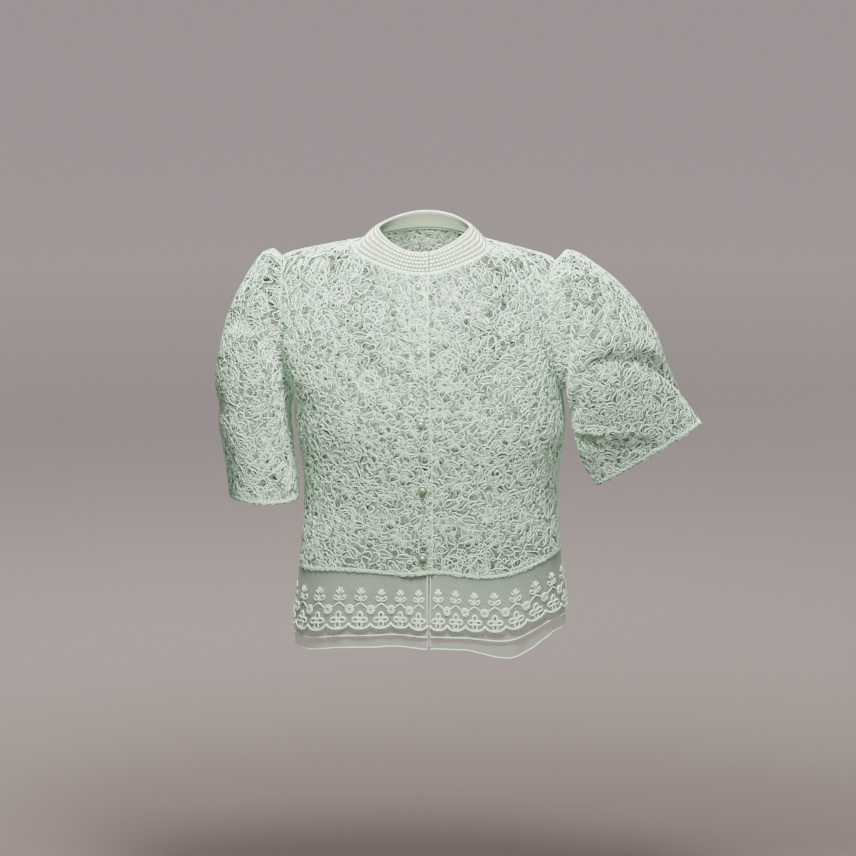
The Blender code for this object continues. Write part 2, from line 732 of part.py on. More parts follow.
def make_scalloped(name, scallops, pitch, start, end):
    """Make one piece of the scalloped top layer, with its eyelets cut through."""
    flat, triangles, width = cut_strip(scallops, pitch)
    outer = []
    inner = []
    for across, down in flat:
        angle = start + (end - start) * across / width
        longer = peplum_length(angle, PEPLUM_TOP_LENGTH) / PEPLUM_TOP_LENGTH
        outer.append(peplum_point(angle, down * longer, 0.0))
        inner.append(peplum_point(angle, down * longer, ORGANZA_WALL))
    count = len(flat)
    sides = {}
    for face in triangles:
        for step in range(3):
            pair = (face[step], face[(step + 1) % 3])
            sides[pair] = sides.get(pair, 0) + 1
    faces = []
    for face in triangles:
        faces.append([face[0], face[2], face[1]])
        faces.append([count + corner for corner in face])
    for first, second in sides:
        if (second, first) not in sides:
            faces.append([first, second, count + second, count + first])
    used = sorted({corner for face in faces for corner in face})
    order = {corner: number for number, corner in enumerate(used)}
    points = [(outer + inner)[corner] for corner in used]
    faces = [[order[corner] for corner in face] for face in faces]
    add_object(name, points, faces, "organza", 0.6)


def make_top_layer():
    """Make the scalloped layer in three pieces that meet at the side seams."""
    start, end = peplum_ends()
    total = sum(SCALLOPS.values())
    perimeter = 0.0
    steps = 120
    for step in range(steps):
        first = peplum_point(start + (end - start) * step / steps, 45.0, 0.0)
        second = peplum_point(start + (end - start) * (step + 1) / steps, 45.0, 0.0)
        perimeter += (second - first).length
    pitch = perimeter / total
    half_gap = math.degrees(SEAM_GAP / 2 / 170.0)
    seams = {"front_left": (start, 90.0), "back": (90.0, 270.0), "front_right": (270.0, end)}
    for name, (low, high) in seams.items():
        low = low if name == "front_left" else low + half_gap
        high = high if name == "front_right" else high - half_gap
        make_scalloped("peplum_" + name, SCALLOPS[name], pitch, low, high)


def make_buttons():
    """Make the five pearl buttons on the centre front of the over front."""
    for number, height in enumerate(BUTTON_HEIGHTS):
        normal = body_normal(0.0, height)
        seat = body_point(0.0, height) + normal * (front_lift(0.0, height) + SEAM_GAP)
        across = Vector((1.0, 0.0, 0.0))
        up = normal.cross(across).normalized()
        across = up.cross(normal)
        points = []
        faces = []
        for radius, rise in BUTTON_PROFILE:
            sides = BUTTON_SIDES if radius > 0 else 1
            for side in range(sides):
                angle = 2.0 * math.pi * side / BUTTON_SIDES
                spread = across * math.cos(angle) * radius + up * math.sin(angle) * radius
                points.append(seat + spread + normal * rise)
        rings = len(BUTTON_PROFILE) - 2
        last = 1 + rings * BUTTON_SIDES
        for side in range(BUTTON_SIDES):
            beside = (side + 1) % BUTTON_SIDES
            faces.append([0, 1 + side, 1 + beside])
            for ring in range(rings - 1):
                low = 1 + ring * BUTTON_SIDES
                high = low + BUTTON_SIDES
                faces.append([low + side, high + side, high + beside, low + beside])
            top = 1 + (rings - 1) * BUTTON_SIDES
            faces.append([top + side, last, top + beside])
        add_object("button_%d" % (number + 1), points, faces, "pearl", 0.25)


def main():
    clear_scene()
    make_fronts()
    make_back()
    for side in ("right", "left"):
        make_sleeve(side)
    make_neckband()
    make_top_layer()
    for name in PEPLUM_LAYERS:
        make_layer(name)
    make_buttons()


main()
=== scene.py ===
"""The looks of a short-sleeved lace blouse with a pearl neckband and an organza peplum.

The frame is in metres, +Z up, the front faces -Y and +X is the wearer's left. The
sizes of the garment below are in millimetres.
"""
import math

import bpy
import numpy as np
from mathutils import Matrix, Vector
from mathutils.bvhtree import BVHTree
from mathutils.geometry import delaunay_2d_cdt


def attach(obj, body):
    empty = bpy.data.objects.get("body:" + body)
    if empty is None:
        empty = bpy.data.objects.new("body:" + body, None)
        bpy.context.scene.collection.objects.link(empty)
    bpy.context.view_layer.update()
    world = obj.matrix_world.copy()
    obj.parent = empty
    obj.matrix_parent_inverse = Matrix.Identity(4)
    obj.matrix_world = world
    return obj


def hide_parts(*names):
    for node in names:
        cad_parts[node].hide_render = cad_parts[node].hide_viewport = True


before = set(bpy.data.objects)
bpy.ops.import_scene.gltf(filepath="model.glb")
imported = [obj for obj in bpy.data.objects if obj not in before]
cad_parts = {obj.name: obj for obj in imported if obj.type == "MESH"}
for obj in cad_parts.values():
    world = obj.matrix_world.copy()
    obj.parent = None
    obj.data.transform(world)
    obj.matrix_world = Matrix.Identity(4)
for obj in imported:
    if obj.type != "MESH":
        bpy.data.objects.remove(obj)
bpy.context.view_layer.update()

MM = 0.001

# Camera, in metres and degrees
CAMERA_AZIMUTH = 5.5
CAMERA_ELEVATION = 11.3
CAMERA_DISTANCE = 7.0
CAMERA_AIM = (0.005, 0.0, -0.2465)
FRAME_WIDTH = 1.113
SENSOR_WIDTH = 36.0

# Cloth and seams
SEAM_GAP = 0.3
FRONT_RAISE = 2.0

# Neckline and hem heights at the centre front, the neck points and the centre back
NECK_FRONT_DROP = 31.5
NECK_FRONT_FLAT = 0.35
NECK_BACK_RISE = 6.0
HEM_HEIGHT = -417.0
HEM_TILT = 13.5
# Swells of the bodice hem. Columns: first angle, last angle, rise halfway between them
HEM_SWELLS = [(4.0, 84.0, -15.0), (-90.0, -2.0, 8.0)]

# Front opening: the wearer's right front lies over the left one
OVER_REACH = 13.0
UNDER_REACH = 12.0
LIFT_START = 34.0
LIFT_FULL = 17.0

# Bodice sections. Columns: height, middle, reach to the wearer's right, to the left,
# to the front and to the back, and squareness (2 is an ellipse, more is boxier)
BODY_SECTIONS = [
    (12.0, 0.0, 70.0, 70.0, 58.0, 64.0, 2.0),
    (0.0, 0.0, 80.0, 80.0, 60.0, 70.0, 2.0),
    (-6.0, 0.0, 111.0, 106.0, 61.0, 76.0, 1.85),
    (-13.0, 0.0, 148.0, 137.0, 62.0, 81.0, 1.8),
    (-20.0, 0.0, 177.0, 162.0, 63.5, 87.0, 1.85),
    (-27.0, 0.0, 187.0, 171.0, 65.5, 92.0, 1.95),
    (-36.0, 0.0, 190.5, 174.0, 69.0, 96.0, 2.15),
    (-52.0, 0.0, 191.5, 174.5, 77.0, 101.0, 2.45),
    (-80.0, 1.0, 191.0, 173.0, 90.0, 107.0, 2.8),
    (-128.0, 3.0, 190.0, 171.0, 105.0, 109.0, 3.0),
    (-170.0, 5.0, 184.0, 170.0, 114.0, 108.0, 2.8),
    (-205.0, 7.0, 175.0, 172.0, 118.0, 106.0, 2.45),
    (-235.0, 8.0, 174.0, 174.0, 119.0, 104.0, 2.3),
    (-290.0, 9.0, 167.0, 167.0, 114.0, 95.0, 2.25),
    (-335.0, 9.0, 164.0, 164.0, 111.0, 91.0, 2.2),
    (-380.0, 9.0, 167.0, 167.0, 112.0, 96.0, 2.2),
    (-440.0, 9.0, 173.0, 173.0, 115.0, 103.0, 2.2),
    (-530.0, 9.0, 183.0, 182.0, 121.0, 110.0, 2.2),
]

# Fullness shaped by the cut. Columns: angle from the front, height, spread in degrees,
# spread in height, amount
FULLNESS = [
    (38.0, -215.0, 20.0, 48.0, 5.0),
    (150.0, -140.0, 24.0, 55.0, 4.0),
]

# Armholes. Columns by side: shoulder height, underarm height, depth to front and back
ARMHOLES = {
    "right": (-25.0, -208.0, 47.0, 58.0),
    "left": (-25.0, -193.0, 47.0, 58.0),
}
SIDE_SIGN = {"right": -1.0, "left": 1.0}

# Sleeve sections from the head to the cuff. Columns: place along the sleeve, top X and
# Z, underarm X and Z, depth to the front and the back, middle Y. X is from the centre
SLEEVE_SECTIONS = {
    "right": [
        (0.07, 198.0, -16.0, 171.5, -204.0, 54.0, 63.0, 1.0),
        (0.15, 214.0, -24.0, 174.0, -211.0, 63.0, 69.0, 1.0),
        (0.25, 238.0, -62.0, 176.0, -222.0, 75.0, 76.0, 1.0),
        (0.38, 259.0, -112.0, 176.0, -239.0, 76.0, 77.0, 0.0),
        (0.52, 271.0, -172.0, 174.0, -260.0, 73.0, 74.0, 0.0),
        (0.66, 270.0, -225.0, 171.0, -283.0, 69.0, 69.0, -2.0),
        (0.80, 262.0, -272.0, 168.0, -306.0, 64.0, 64.0, -4.0),
        (0.92, 256.0, -311.0, 166.0, -327.0, 61.0, 61.0, -5.0),
        (1.00, 254.0, -336.0, 165.0, -341.0, 60.0, 60.0, -6.0),
    ],
    "left": [
        (0.07, 184.0, -12.0, 184.0, -189.0, 55.0, 63.0, 2.0),
        (0.15, 202.0, -18.0, 187.0, -198.0, 64.0, 69.0, 4.0),
        (0.25, 232.0, -38.0, 189.0, -212.0, 73.0, 74.0, 9.0),
        (0.38, 268.0, -72.0, 191.0, -228.0, 72.0, 72.0, 12.0),
        (0.52, 298.0, -115.0, 193.0, -246.0, 66.0, 66.0, 15.0),
        (0.66, 314.0, -163.0, 197.0, -265.0, 56.0, 56.0, 18.0),
        (0.80, 333.0, -201.0, 204.0, -287.0, 43.0, 43.0, 20.0),
        (0.92, 350.0, -226.0, 215.0, -308.0, 32.0, 32.0, 22.0),
        (1.00, 359.0, -238.0, 225.0, -322.0, 26.0, 26.0, 22.0),
    ],
}
SLEEVE_FIRST = 0.07
HEAD_SEAM_GAP = 0.5
HEAD_BOW = 9.0
HEAD_PLEATS = 12
HEAD_PLEAT_DEPTH = 2.6

# Folds pressed into the sleeves. Columns: degrees round from the top towards the front,
# place along the sleeve, spread in degrees, spread along, slant in degrees for the whole
# length, depth (below 0 stands out)
SLEEVE_FOLDS = {
    "right": [
        (62.0, 0.25, 36.0, 0.045, -195.0, 10.0),
        (58.0, 0.15, 32.0, 0.050, -195.0, -4.0),
        (108.0, 0.22, 11.0, 0.120, 0.0, 4.5),
        (20.0, 0.63, 46.0, 0.050, -80.0, 4.5),
        (130.0, 0.60, 30.0, 0.060, 80.0, 4.0),
        (-60.0, 0.40, 40.0, 0.050, -60.0, 7.0),
        (-120.0, 0.58, 34.0, 0.055, -80.0, 5.0),
    ],
    "left": [
        (50.0, 0.545, 46.0, 0.036, -280.0, 9.0),
        (50.0, 0.455, 44.0, 0.050, -280.0, -4.0),
        (115.0, 0.69, 34.0, 0.035, -260.0, -3.5),
        (120.0, 0.77, 32.0, 0.045, -260.0, 5.0),
        (44.0, 0.18, 12.0, 0.035, -480.0, 4.0),
        (146.0, 0.36, 26.0, 0.090, 90.0, 5.0),
        (-70.0, 0.52, 55.0, 0.045, -40.0, 7.0),
        (-130.0, 0.36, 30.0, 0.080, -90.0, 5.0),
    ],
}

# Neckband
BAND_TOP_WIDTH = 61.0
BAND_TOP_FRONT = 58.0
BAND_TOP_BACK = 61.0
BAND_TOP_HEIGHT = 18.0
BAND_TOP_FRONT_DROP = 25.5
BAND_TOP_BACK_RISE = 11.0
# How far the band bows out, its rough reach at the front, and its gaps at the ends, in
# degrees, and above the lace
BAND_BOW = 1.2
NECK_REACH = 67.0
BAND_END_GAP = 0.4
BAND_SEAM_GAP = 0.8

# Peplum. Columns by layer: length at the front, how far inside the bodice's outer face
# it starts, how much further in it lies at the hem
PEPLUM_LAYERS = {
    "middle": (80.0, 1.8, 1.0),
    "lower": (96.0, 3.6, 2.0),
}
PEPLUM_TOP_LENGTH = 71.0
# Gap at the centre front, and how far below the bodice's hem the layers start
PEPLUM_SPLIT = 2.4
PEPLUM_DROP = 0.4
PEPLUM_LONGER_RIGHT = 7.0
# Extra length at the left front: first angle, last angle, share of what a layer has
# beyond the top one
PEPLUM_LONGER_LEFT = (22.0, 84.0, 0.48)
# Waves round the peplum. Columns: waves in the whole round, phase in degrees, height
PEPLUM_WAVES = [(5.0, 20.0, 1.6), (8.0, 75.0, 1.7), (13.0, 140.0, 1.1)]
# Scallops of each top piece and their depth, and a rough reach of the hips for angles
SCALLOPS = {"front_right": 8, "back": 17, "front_left": 8}
SCALLOP_DEPTH = 6.5
HIP_REACH = 170.0

BUTTON_HEIGHTS = [-49.0, -129.0, -218.0, -305.0, -395.0]


class Table:
    """A table of sections that is read at any place along its first column."""

    def __init__(self, rows):
        rows = np.array(sorted(rows), dtype=float)
        self.places = rows[:, 0]
        self.values = rows[:, 1:]
        self.slopes = np.gradient(self.values, self.places, axis=0)

    def __call__(self, place):
        place = np.clip(np.asarray(place, dtype=float), self.places[0], self.places[-1])
        low = np.clip(np.searchsorted(self.places, place) - 1, 0, len(self.places) - 2)
        span = (self.places[low + 1] - self.places[low])[..., None]
        t = (place - self.places[low])[..., None] / span
        start = (2 * t**3 - 3 * t**2 + 1) * self.values[low]
        start = start + (t**3 - 2 * t**2 + t) * span * self.slopes[low]
        end = (3 * t**2 - 2 * t**3) * self.values[low + 1]
        end = end + (t**3 - t**2) * span * self.slopes[low + 1]
        return np.moveaxis(start + end, -1, 0)


BODY = Table(BODY_SECTIONS)
SLEEVES = {side: Table(rows) for side, rows in SLEEVE_SECTIONS.items()}


def smoothstep(low, high, value):
    """Rise smoothly from 0 at low to 1 at high."""
    share = np.clip((value - low) / (high - low), 0.0, 1.0)
    return share * share * (3.0 - 2.0 * share)


def wrap_degrees(angle):
    """Bring angles between -180 and 180 degrees."""
    return (angle + 180.0) % 360.0 - 180.0


def sin_of(angle):
    return np.sin(np.radians(angle))


def cos_of(angle):
    return np.cos(np.radians(angle))


def unit(vectors):
    """Give vectors the length 1."""
    size = np.linalg.norm(vectors, axis=-1, keepdims=True)
    return vectors / np.maximum(size, 1e-9)


def distances(points):
    """Give each point's distance along a line of points."""
    return np.append(0.0, np.cumsum(np.linalg.norm(np.diff(points, axis=0), axis=1)))


def cell_corners(rows, columns):
    """Number the four corners of each cell of a grid, round the cell."""
    first = (np.arange(rows - 1)[:, None] * columns + np.arange(columns - 1)[None, :]).ravel()
    return np.stack([first, first + columns, first + columns + 1, first + 1], axis=1)


def add_object(name, data):
    """Put a new object with its data in the scene."""
    item = bpy.data.objects.new(name, data)
    bpy.context.scene.collection.objects.link(item)
    return item


def body(angle, height):
    """Give points of the bodice at degrees from the front towards +X, and heights."""
    angle, height = np.broadcast_arrays(np.asarray(angle, float), np.asarray(height, float))
    middle, right, left, front, back, square = BODY(height)
    across = sin_of(angle)
    ahead = cos_of(angle)
    side = np.where(across > 0, left, right)
    depth = np.where(ahead > 0, front, back)
    reach = (np.abs(across / side) ** square + np.abs(ahead / depth) ** square) ** (-1.0 / square)
    for turn, level, spread, tall, amount in FULLNESS:
        away = (np.abs(wrap_degrees(angle)) - turn) / spread
        reach = reach + amount * np.exp(-away * away - ((height - level) / tall) ** 2)
    return np.stack([middle + reach * across, -reach * ahead, height], axis=-1)


def body_normal(angle, height):
    """Give the outward directions of the bodice."""
    around = body(angle + 0.5, height) - body(angle - 0.5, height)
    up = body(angle, height + 1.0) - body(angle, height - 1.0)
    return unit(np.cross(around, up))


def armhole(side, turn):
    """Give body angle and height on an armhole, by degrees from the top to the front."""
    top, bottom, front, back = ARMHOLES[side]
    height = (top + bottom) / 2 + (top - bottom) / 2 * cos_of(turn)
    depth = np.where(sin_of(turn) > 0, front, back) * sin_of(turn)
    _, right, left, body_front, body_back, square = BODY(height)
    reach = left if side == "left" else right
    limit = np.where(depth > 0, body_front, body_back)
    across = reach * (1.0 - np.minimum(np.abs(depth) / limit, 1.0) ** square) ** (1.0 / square)
    return SIDE_SIGN[side] * np.degrees(np.arctan2(across, depth)), height


def neck_height(angle):
    """Give the height of the neckline round the neck."""
    ahead = cos_of(angle)
    front = -NECK_FRONT_DROP * ahead**2 * (1.0 + NECK_FRONT_FLAT * (1.0 - ahead**2))
    return np.where(ahead > 0, front, NECK_BACK_RISE * ahead * ahead)


def swell(angle, first, last):
    """Give 1 halfway between two angles, falling smoothly to 0 at both and beyond."""
    share = np.clip((wrap_degrees(angle) - first) / (last - first), 0.0, 1.0)
    return np.sin(math.pi * share) ** 2


def hem_height(angle):
    """Give the height of the bodice hem, which is tilted and dips at the left front."""
    height = HEM_HEIGHT + HEM_TILT * sin_of(angle)
    for first, last, rise in HEM_SWELLS:
        height = height + rise * swell(angle, first, last)
    return height


def row_height(angle, swing, side_height, share, side_hem):
    """Bend a level row so that it follows the neckline above and the hem below."""
    top = neck_height(swing) * (1.0 - smoothstep(0.0, 0.45, share))
    return side_height + top + (hem_height(angle) - side_hem) * share * share


def opening_angle(height, across):
    """Give the angle of a line that runs down beside the centre front."""
    return np.degrees(np.arctan2(across, BODY(height)[3]))


def front_lift(angle, height):
    """Give how far the over front is raised where it lies on the under one."""
    across = BODY(height)[3] * np.tan(np.radians(np.clip(angle, -60.0, 60.0)))
    return FRONT_RAISE * smoothstep(-LIFT_START, -LIFT_FULL, across)


# Fine rows of the panels: on the shoulder, round the armhole and down the side seam
YOKE_ROWS = 24
ARMHOLE_ROWS = 60
SIDE_ROWS = 42
FRONT_COLUMNS = 48
BACK_COLUMNS = 96
SLEEVE_COLUMNS = 120
SLEEVE_RINGS = 72


def side_line(side, facing):
    """Give body angle, height and share of the way down along one side of a panel."""
    top, bottom, _, _ = ARMHOLES[side]
    sign = SIDE_SIGN[side]
    hem = HEM_HEIGHT + sign * HEM_TILT
    yoke = top * np.arange(YOKE_ROWS) / YOKE_ROWS
    turn = facing * 180.0 * np.arange(ARMHOLE_ROWS + 1) / ARMHOLE_ROWS
    round_angle, round_height = armhole(side, turn)
    down = bottom + (hem - bottom) * np.arange(1, SIDE_ROWS + 1) / SIDE_ROWS
    angle = np.concatenate([np.full(YOKE_ROWS, sign * 90.0), round_angle, np.full(SIDE_ROWS, sign * 90.0)])
    height = np.concatenate([yoke, round_height, down])
    return angle, height, height / hem


def front_grid(side, near_edge):
    """Give a front's rows of angle and height, from the opening to the side."""
    sign = SIDE_SIGN[side]
    side_hem = HEM_HEIGHT + sign * HEM_TILT
    columns = np.linspace(0.0, 1.0, FRONT_COLUMNS + 1)
    angles, heights = [], []
    for side_angle, side_height, share in zip(*side_line(side, 1.0)):
        middle_height = row_height(0.0, 0.0, side_height, share, side_hem)
        first = sign * opening_angle(middle_height, near_edge)
        angle = first + (side_angle - first) * columns
        swing = 90.0 * angle / abs(side_angle)
        angles.append(angle)
        heights.append(row_height(angle, swing, side_height, share, side_hem))
    return np.array(angles), np.array(heights)


def back_grid():
    """Give the back's rows of angle and height, from the left side to the right."""
    across = np.linspace(0.0, 1.0, BACK_COLUMNS + 1)
    blend = smoothstep(0.0, 1.0, across)
    angles, heights = [], []
    for left, right in zip(zip(*side_line("left", -1.0)), zip(*side_line("right", -1.0))):
        angle = left[0] + (right[0] + 360.0 - left[0]) * across
        side_height = left[1] * (1 - blend) + right[1] * blend
        share = left[2] * (1 - blend) + right[2] * blend
        side_hem = HEM_HEIGHT + HEM_TILT * (1 - 2 * blend)
        angles.append(angle)
        heights.append(row_height(angle, 90.0 + 180.0 * across, side_height, share, side_hem))
    return np.array(angles), np.array(heights)


def panel_points(angles, heights, lifted):
    """Give the points of a bodice panel from its grid of angles and heights."""
    points = body(angles, heights)
    if lifted:
        points = points + body_normal(angles, heights) * front_lift(angles, heights)[..., None]
    return points


def sleeve_fold(side, turn, place):
    """Give how far a sleeve stands out of its smooth form."""
    cap = np.maximum(cos_of(turn), 0.0)
    head = np.exp(-(((place - 0.09) / 0.085) ** 2))
    out = HEAD_PLEAT_DEPTH * cap**0.6 * head * cos_of(turn * HEAD_PLEATS + 180.0)
    for middle, level, spread, tall, slant, depth in SLEEVE_FOLDS[side]:
        away = wrap_degrees(turn - middle)
        offset = (place - level - away / 360.0 * slant / 180.0) / tall
        out = out - smoothstep(0.0, 0.12, place) * depth * np.exp(-((away / spread) ** 2) - offset**2)
    return out


def sleeve_loop(side, turn, place):
    """Give the smooth sleeve beyond the first section of its table."""
    sign = SIDE_SIGN[side]
    top_x, top_z, low_x, low_z, front, back, middle_y = SLEEVES[side](place)
    ahead = sin_of(turn)
    depth = np.where(ahead > 0, front, back)
    bow = HEAD_BOW * np.exp(-(((place - SLEEVE_FIRST) / 0.1) ** 2)) * ahead**2
    swing = cos_of(turn)
    x = sign * ((top_x + low_x) / 2 + (top_x - low_x) / 2 * swing + bow)
    z = (top_z + low_z) / 2 + (top_z - low_z) / 2 * swing
    return np.stack([x, middle_y - depth * ahead, z], axis=-1)


def sleeve_grid(side):
    """Give the points of a sleeve, rings from head to cuff, cut open under the arm."""
    turn = np.linspace(180.0, 540.0, SLEEVE_COLUMNS + 1)
    later = np.linspace(0.0, 1.0, SLEEVE_RINGS - 1) ** 1.1
    place = np.concatenate([[0.0, SLEEVE_FIRST / 2], SLEEVE_FIRST + (1.0 - SLEEVE_FIRST) * later])
    turns, places = np.meshgrid(turn, place)
    smooth = sleeve_loop(side, turns, np.maximum(places, SLEEVE_FIRST))
    angle, height = armhole(side, turn)
    before = body(*armhole(side, turn - 2.0))
    after = body(*armhole(side, turn + 2.0))
    into = unit(np.cross(body_normal(angle, height), unit(after - before)) * SIDE_SIGN[side])
    start = body(angle, height) + into * HEAD_SEAM_GAP
    share = np.minimum(places / SLEEVE_FIRST, 1.0)[..., None]
    smooth = start * (1 - share) + smooth * share
    out = np.where(places > 0.0, sleeve_fold(side, turns, places), 0.0)
    return smooth + grid_normals(smooth, SIDE_SIGN[side]) * out[..., None]


def grid_normals(points, sign):
    """Give the outward directions of a grid of points."""
    along = np.gradient(points, axis=0)
    around = np.gradient(points, axis=1)
    return unit(np.cross(around, along) * sign)


def peplum(angle, down, inside):
    """Give the peplum at lengths below its seam, waved towards the hem."""
    height = hem_height(angle) - PEPLUM_DROP - down
    outward = body_normal(angle, height)
    outward[..., 2] = 0.0
    outward = unit(outward)
    wave = 0.0
    for count, phase, amount in PEPLUM_WAVES:
        wave = wave + amount * sin_of(angle * count + phase)
    return body(angle, height) + outward * (wave * smoothstep(0.0, 90.0, down) - inside)[..., None]


def peplum_length(angle, length):
    """Give a layer's length, a little more at the right side and the left front, and waved."""
    wave = 1.6 * sin_of(angle * 5.0 + 30.0) + 1.2 * sin_of(angle * 9.0)
    first, last, more = PEPLUM_LONGER_LEFT
    wave = wave + more * (length - PEPLUM_TOP_LENGTH) * swell(angle, first, last)
    return length + PEPLUM_LONGER_RIGHT * smoothstep(0.3, 1.0, -sin_of(angle)) + wave


def band(angle, share, out=0.0):
    """Give the neckband from its seam (share 0) to its top edge (share 1)."""
    angle, share = np.broadcast_arrays(np.asarray(angle, float), np.asarray(share, float))
    across = sin_of(angle)
    ahead = cos_of(angle)
    depth = np.where(ahead > 0, BAND_TOP_FRONT, BAND_TOP_BACK)
    change = np.where(ahead > 0, -BAND_TOP_FRONT_DROP, BAND_TOP_BACK_RISE)
    top = np.stack([BAND_TOP_WIDTH * across, -depth * ahead, BAND_TOP_HEIGHT + change * ahead**2], axis=-1)
    base = body(angle, neck_height(angle))
    slope = top - base
    length = np.linalg.norm(slope, axis=-1, keepdims=True)
    inward = slope * (1.0, 1.0, 0.0)
    flat = np.linalg.norm(inward, axis=-1, keepdims=True)
    outward = unit(-unit(inward) * slope[..., 2:] + flat * (0.0, 0.0, 1.0))
    share = share[..., None]
    rise = BAND_BOW * np.sin(math.pi * share) + out
    return base + slope / length * (BAND_SEAM_GAP + length * share) + outward * rise


def peplum_ends():
    """Give the angles of a layer's two edges at the split in the centre front."""
    depth = BODY(HEM_HEIGHT)[3]
    middle = math.degrees(math.atan2(OVER_REACH - 5.0, depth))
    half = math.degrees(math.atan2(PEPLUM_SPLIT / 2, depth))
    return middle + half, middle + 360.0 - half


def scallop_drop(across):
    """Give how far above its lowest point a scalloped edge lies, across from 0 to 1."""
    share = np.abs(across % 1.0 * 2.0 - 1.0)
    return SCALLOP_DEPTH * (1.0 - np.sqrt(1.0 - 0.96 * share * share)) / 0.8


class Pattern:
    """A worn cloth surface and its flat cut, on which the lace is laid out."""

    CELL = 9.0
    RELAXING = 700
    PULL = 0.12
    GLIDE = 0.92
    WANDER = 0.85

    def __init__(self, points, outward_like):
        self.points = points
        self.normals = grid_normals(points, 1.0)
        if (self.normals * outward_like).sum() < 0:
            self.normals = -self.normals
        self.row_at = self.even_places(points)
        self.column_at = self.even_places(points.swapaxes(0, 1))
        rows, columns = len(self.row_at), len(self.column_at)
        at_row, at_column = np.meshgrid(self.row_at, self.column_at, indexing="ij")
        rough, facing = self.sample(at_row.ravel(), at_column.ravel())
        rough, facing = rough.reshape(rows, columns, 3), facing.reshape(rows, columns, 3)
        self.flat = self.relax(rough, self.unroll(rough))
        across, up = self.middle_steps(self.flat)
        turned = np.cross(*self.middle_steps(rough))
        if np.dot(turned, facing[rows // 2, columns // 2]) * (across[0] * up[1] - across[1] * up[0]) < 0:
            self.flat[..., 0] = -self.flat[..., 0]
        self.low = self.flat.min(axis=(0, 1))
        self.high = self.flat.max(axis=(0, 1))
        corners = cell_corners(rows, columns)
        self.faces = np.stack([corners[:, [0, 1, 3]], corners[:, [2, 3, 1]]], axis=1).reshape(-1, 3)
        places = [Vector((x, y, 0.0)) for x, y in self.flat.reshape(-1, 2)]
        self.tree = BVHTree.FromPolygons(places, self.faces.tolist(), all_triangles=True)

    @staticmethod
    def middle_steps(grid):
        """Give the steps to the next column and the row above from a grid's middle."""
        row, column = grid.shape[0] // 2, grid.shape[1] // 2
        return grid[row, column + 1] - grid[row, column], grid[row - 1, column] - grid[row, column]

    @classmethod
    def even_places(cls, points):
        """Give places along the first side of a grid that are evenly far apart."""
        steps = np.linalg.norm(np.diff(points, axis=0), axis=2).mean(axis=1)
        reach = np.append(0.0, np.cumsum(steps))
        count = round(reach[-1] / cls.CELL)
        return np.interp(np.linspace(0.0, reach[-1], count + 1), reach, np.arange(len(points)))

    @staticmethod
    def unroll(rough):
        """Guess the flat cut: each row straight, at its distance down the middle column."""
        rows, columns, _ = rough.shape
        middle = columns // 2
        along = np.linalg.norm(np.diff(rough, axis=1), axis=2)
        across = np.concatenate([np.zeros((rows, 1)), np.cumsum(along, axis=1)], axis=1)
        down = distances(rough[:, middle])
        across = across - across[:, middle : middle + 1]
        return np.stack([across, np.repeat(-down[:, None], columns, axis=1)], axis=-1)

    @classmethod
    def relax(cls, rough, flat):
        """Ease the flat cut until its threads have the lengths that they have when worn."""
        whole = slice(None)
        less, more = slice(None, -1), slice(1, None)
        pairs = [
            ((whole, less), (whole, more)), ((less, whole), (more, whole)),
            ((less, less), (more, more)), ((less, more), (more, less)),
        ]
        lengths = [np.linalg.norm(rough[b] - rough[a], axis=-1) for a, b in pairs]
        drift = np.zeros_like(flat)
        for _ in range(cls.RELAXING):
            pull = np.zeros_like(flat)
            for (a, b), length in zip(pairs, lengths):
                gap = flat[b] - flat[a]
                size = np.linalg.norm(gap, axis=-1)
                move = gap * ((size - length) / np.maximum(size, 1e-6) * cls.PULL)[..., None]
                pull[a] += move
                pull[b] -= move
            drift = cls.GLIDE * drift + pull
            flat = flat + drift
        return flat

    def area(self):
        """Give the flat cut's area in square metres."""
        a, b, c = (self.flat.reshape(-1, 2)[self.faces[:, i]] for i in range(3))
        ab, ac = b - a, c - a
        return float(np.abs(ab[:, 0] * ac[:, 1] - ab[:, 1] * ac[:, 0]).sum() / 2 * MM * MM)

    def sample(self, row, column):
        """Give points and outward directions at places on the fine grid."""
        row = np.clip(row, 0.0, self.points.shape[0] - 1.001)
        column = np.clip(column, 0.0, self.points.shape[1] - 1.001)
        low_row, low_column = row.astype(int), column.astype(int)
        r, c = (row - low_row)[:, None], (column - low_column)[:, None]
        found = []
        for grid in (self.points, self.normals):
            near = grid[low_row, low_column] * (1 - c) + grid[low_row, low_column + 1] * c
            far = grid[low_row + 1, low_column] * (1 - c) + grid[low_row + 1, low_column + 1] * c
            found.append(near * (1 - r) + far * r)
        return found[0], unit(found[1])

    @classmethod
    def drawn(cls, flat):
        """Push flat places about gently, as a hand-drawn pattern wanders."""
        x, y = flat[:, 0], flat[:, 1]
        over = np.sin(x * 0.21 + y * 0.17 + 1.0) + np.sin(y * 0.37 - x * 0.13)
        over = over + 0.7 * np.sin(x * 0.45 + y * 0.31)
        down = np.sin(y * 0.23 - x * 0.19 + 2.0) + np.sin(x * 0.34 + y * 0.11)
        down = down + 0.7 * np.sin(y * 0.47 - x * 0.29)
        return flat + np.stack([over, down], axis=1) * cls.WANDER

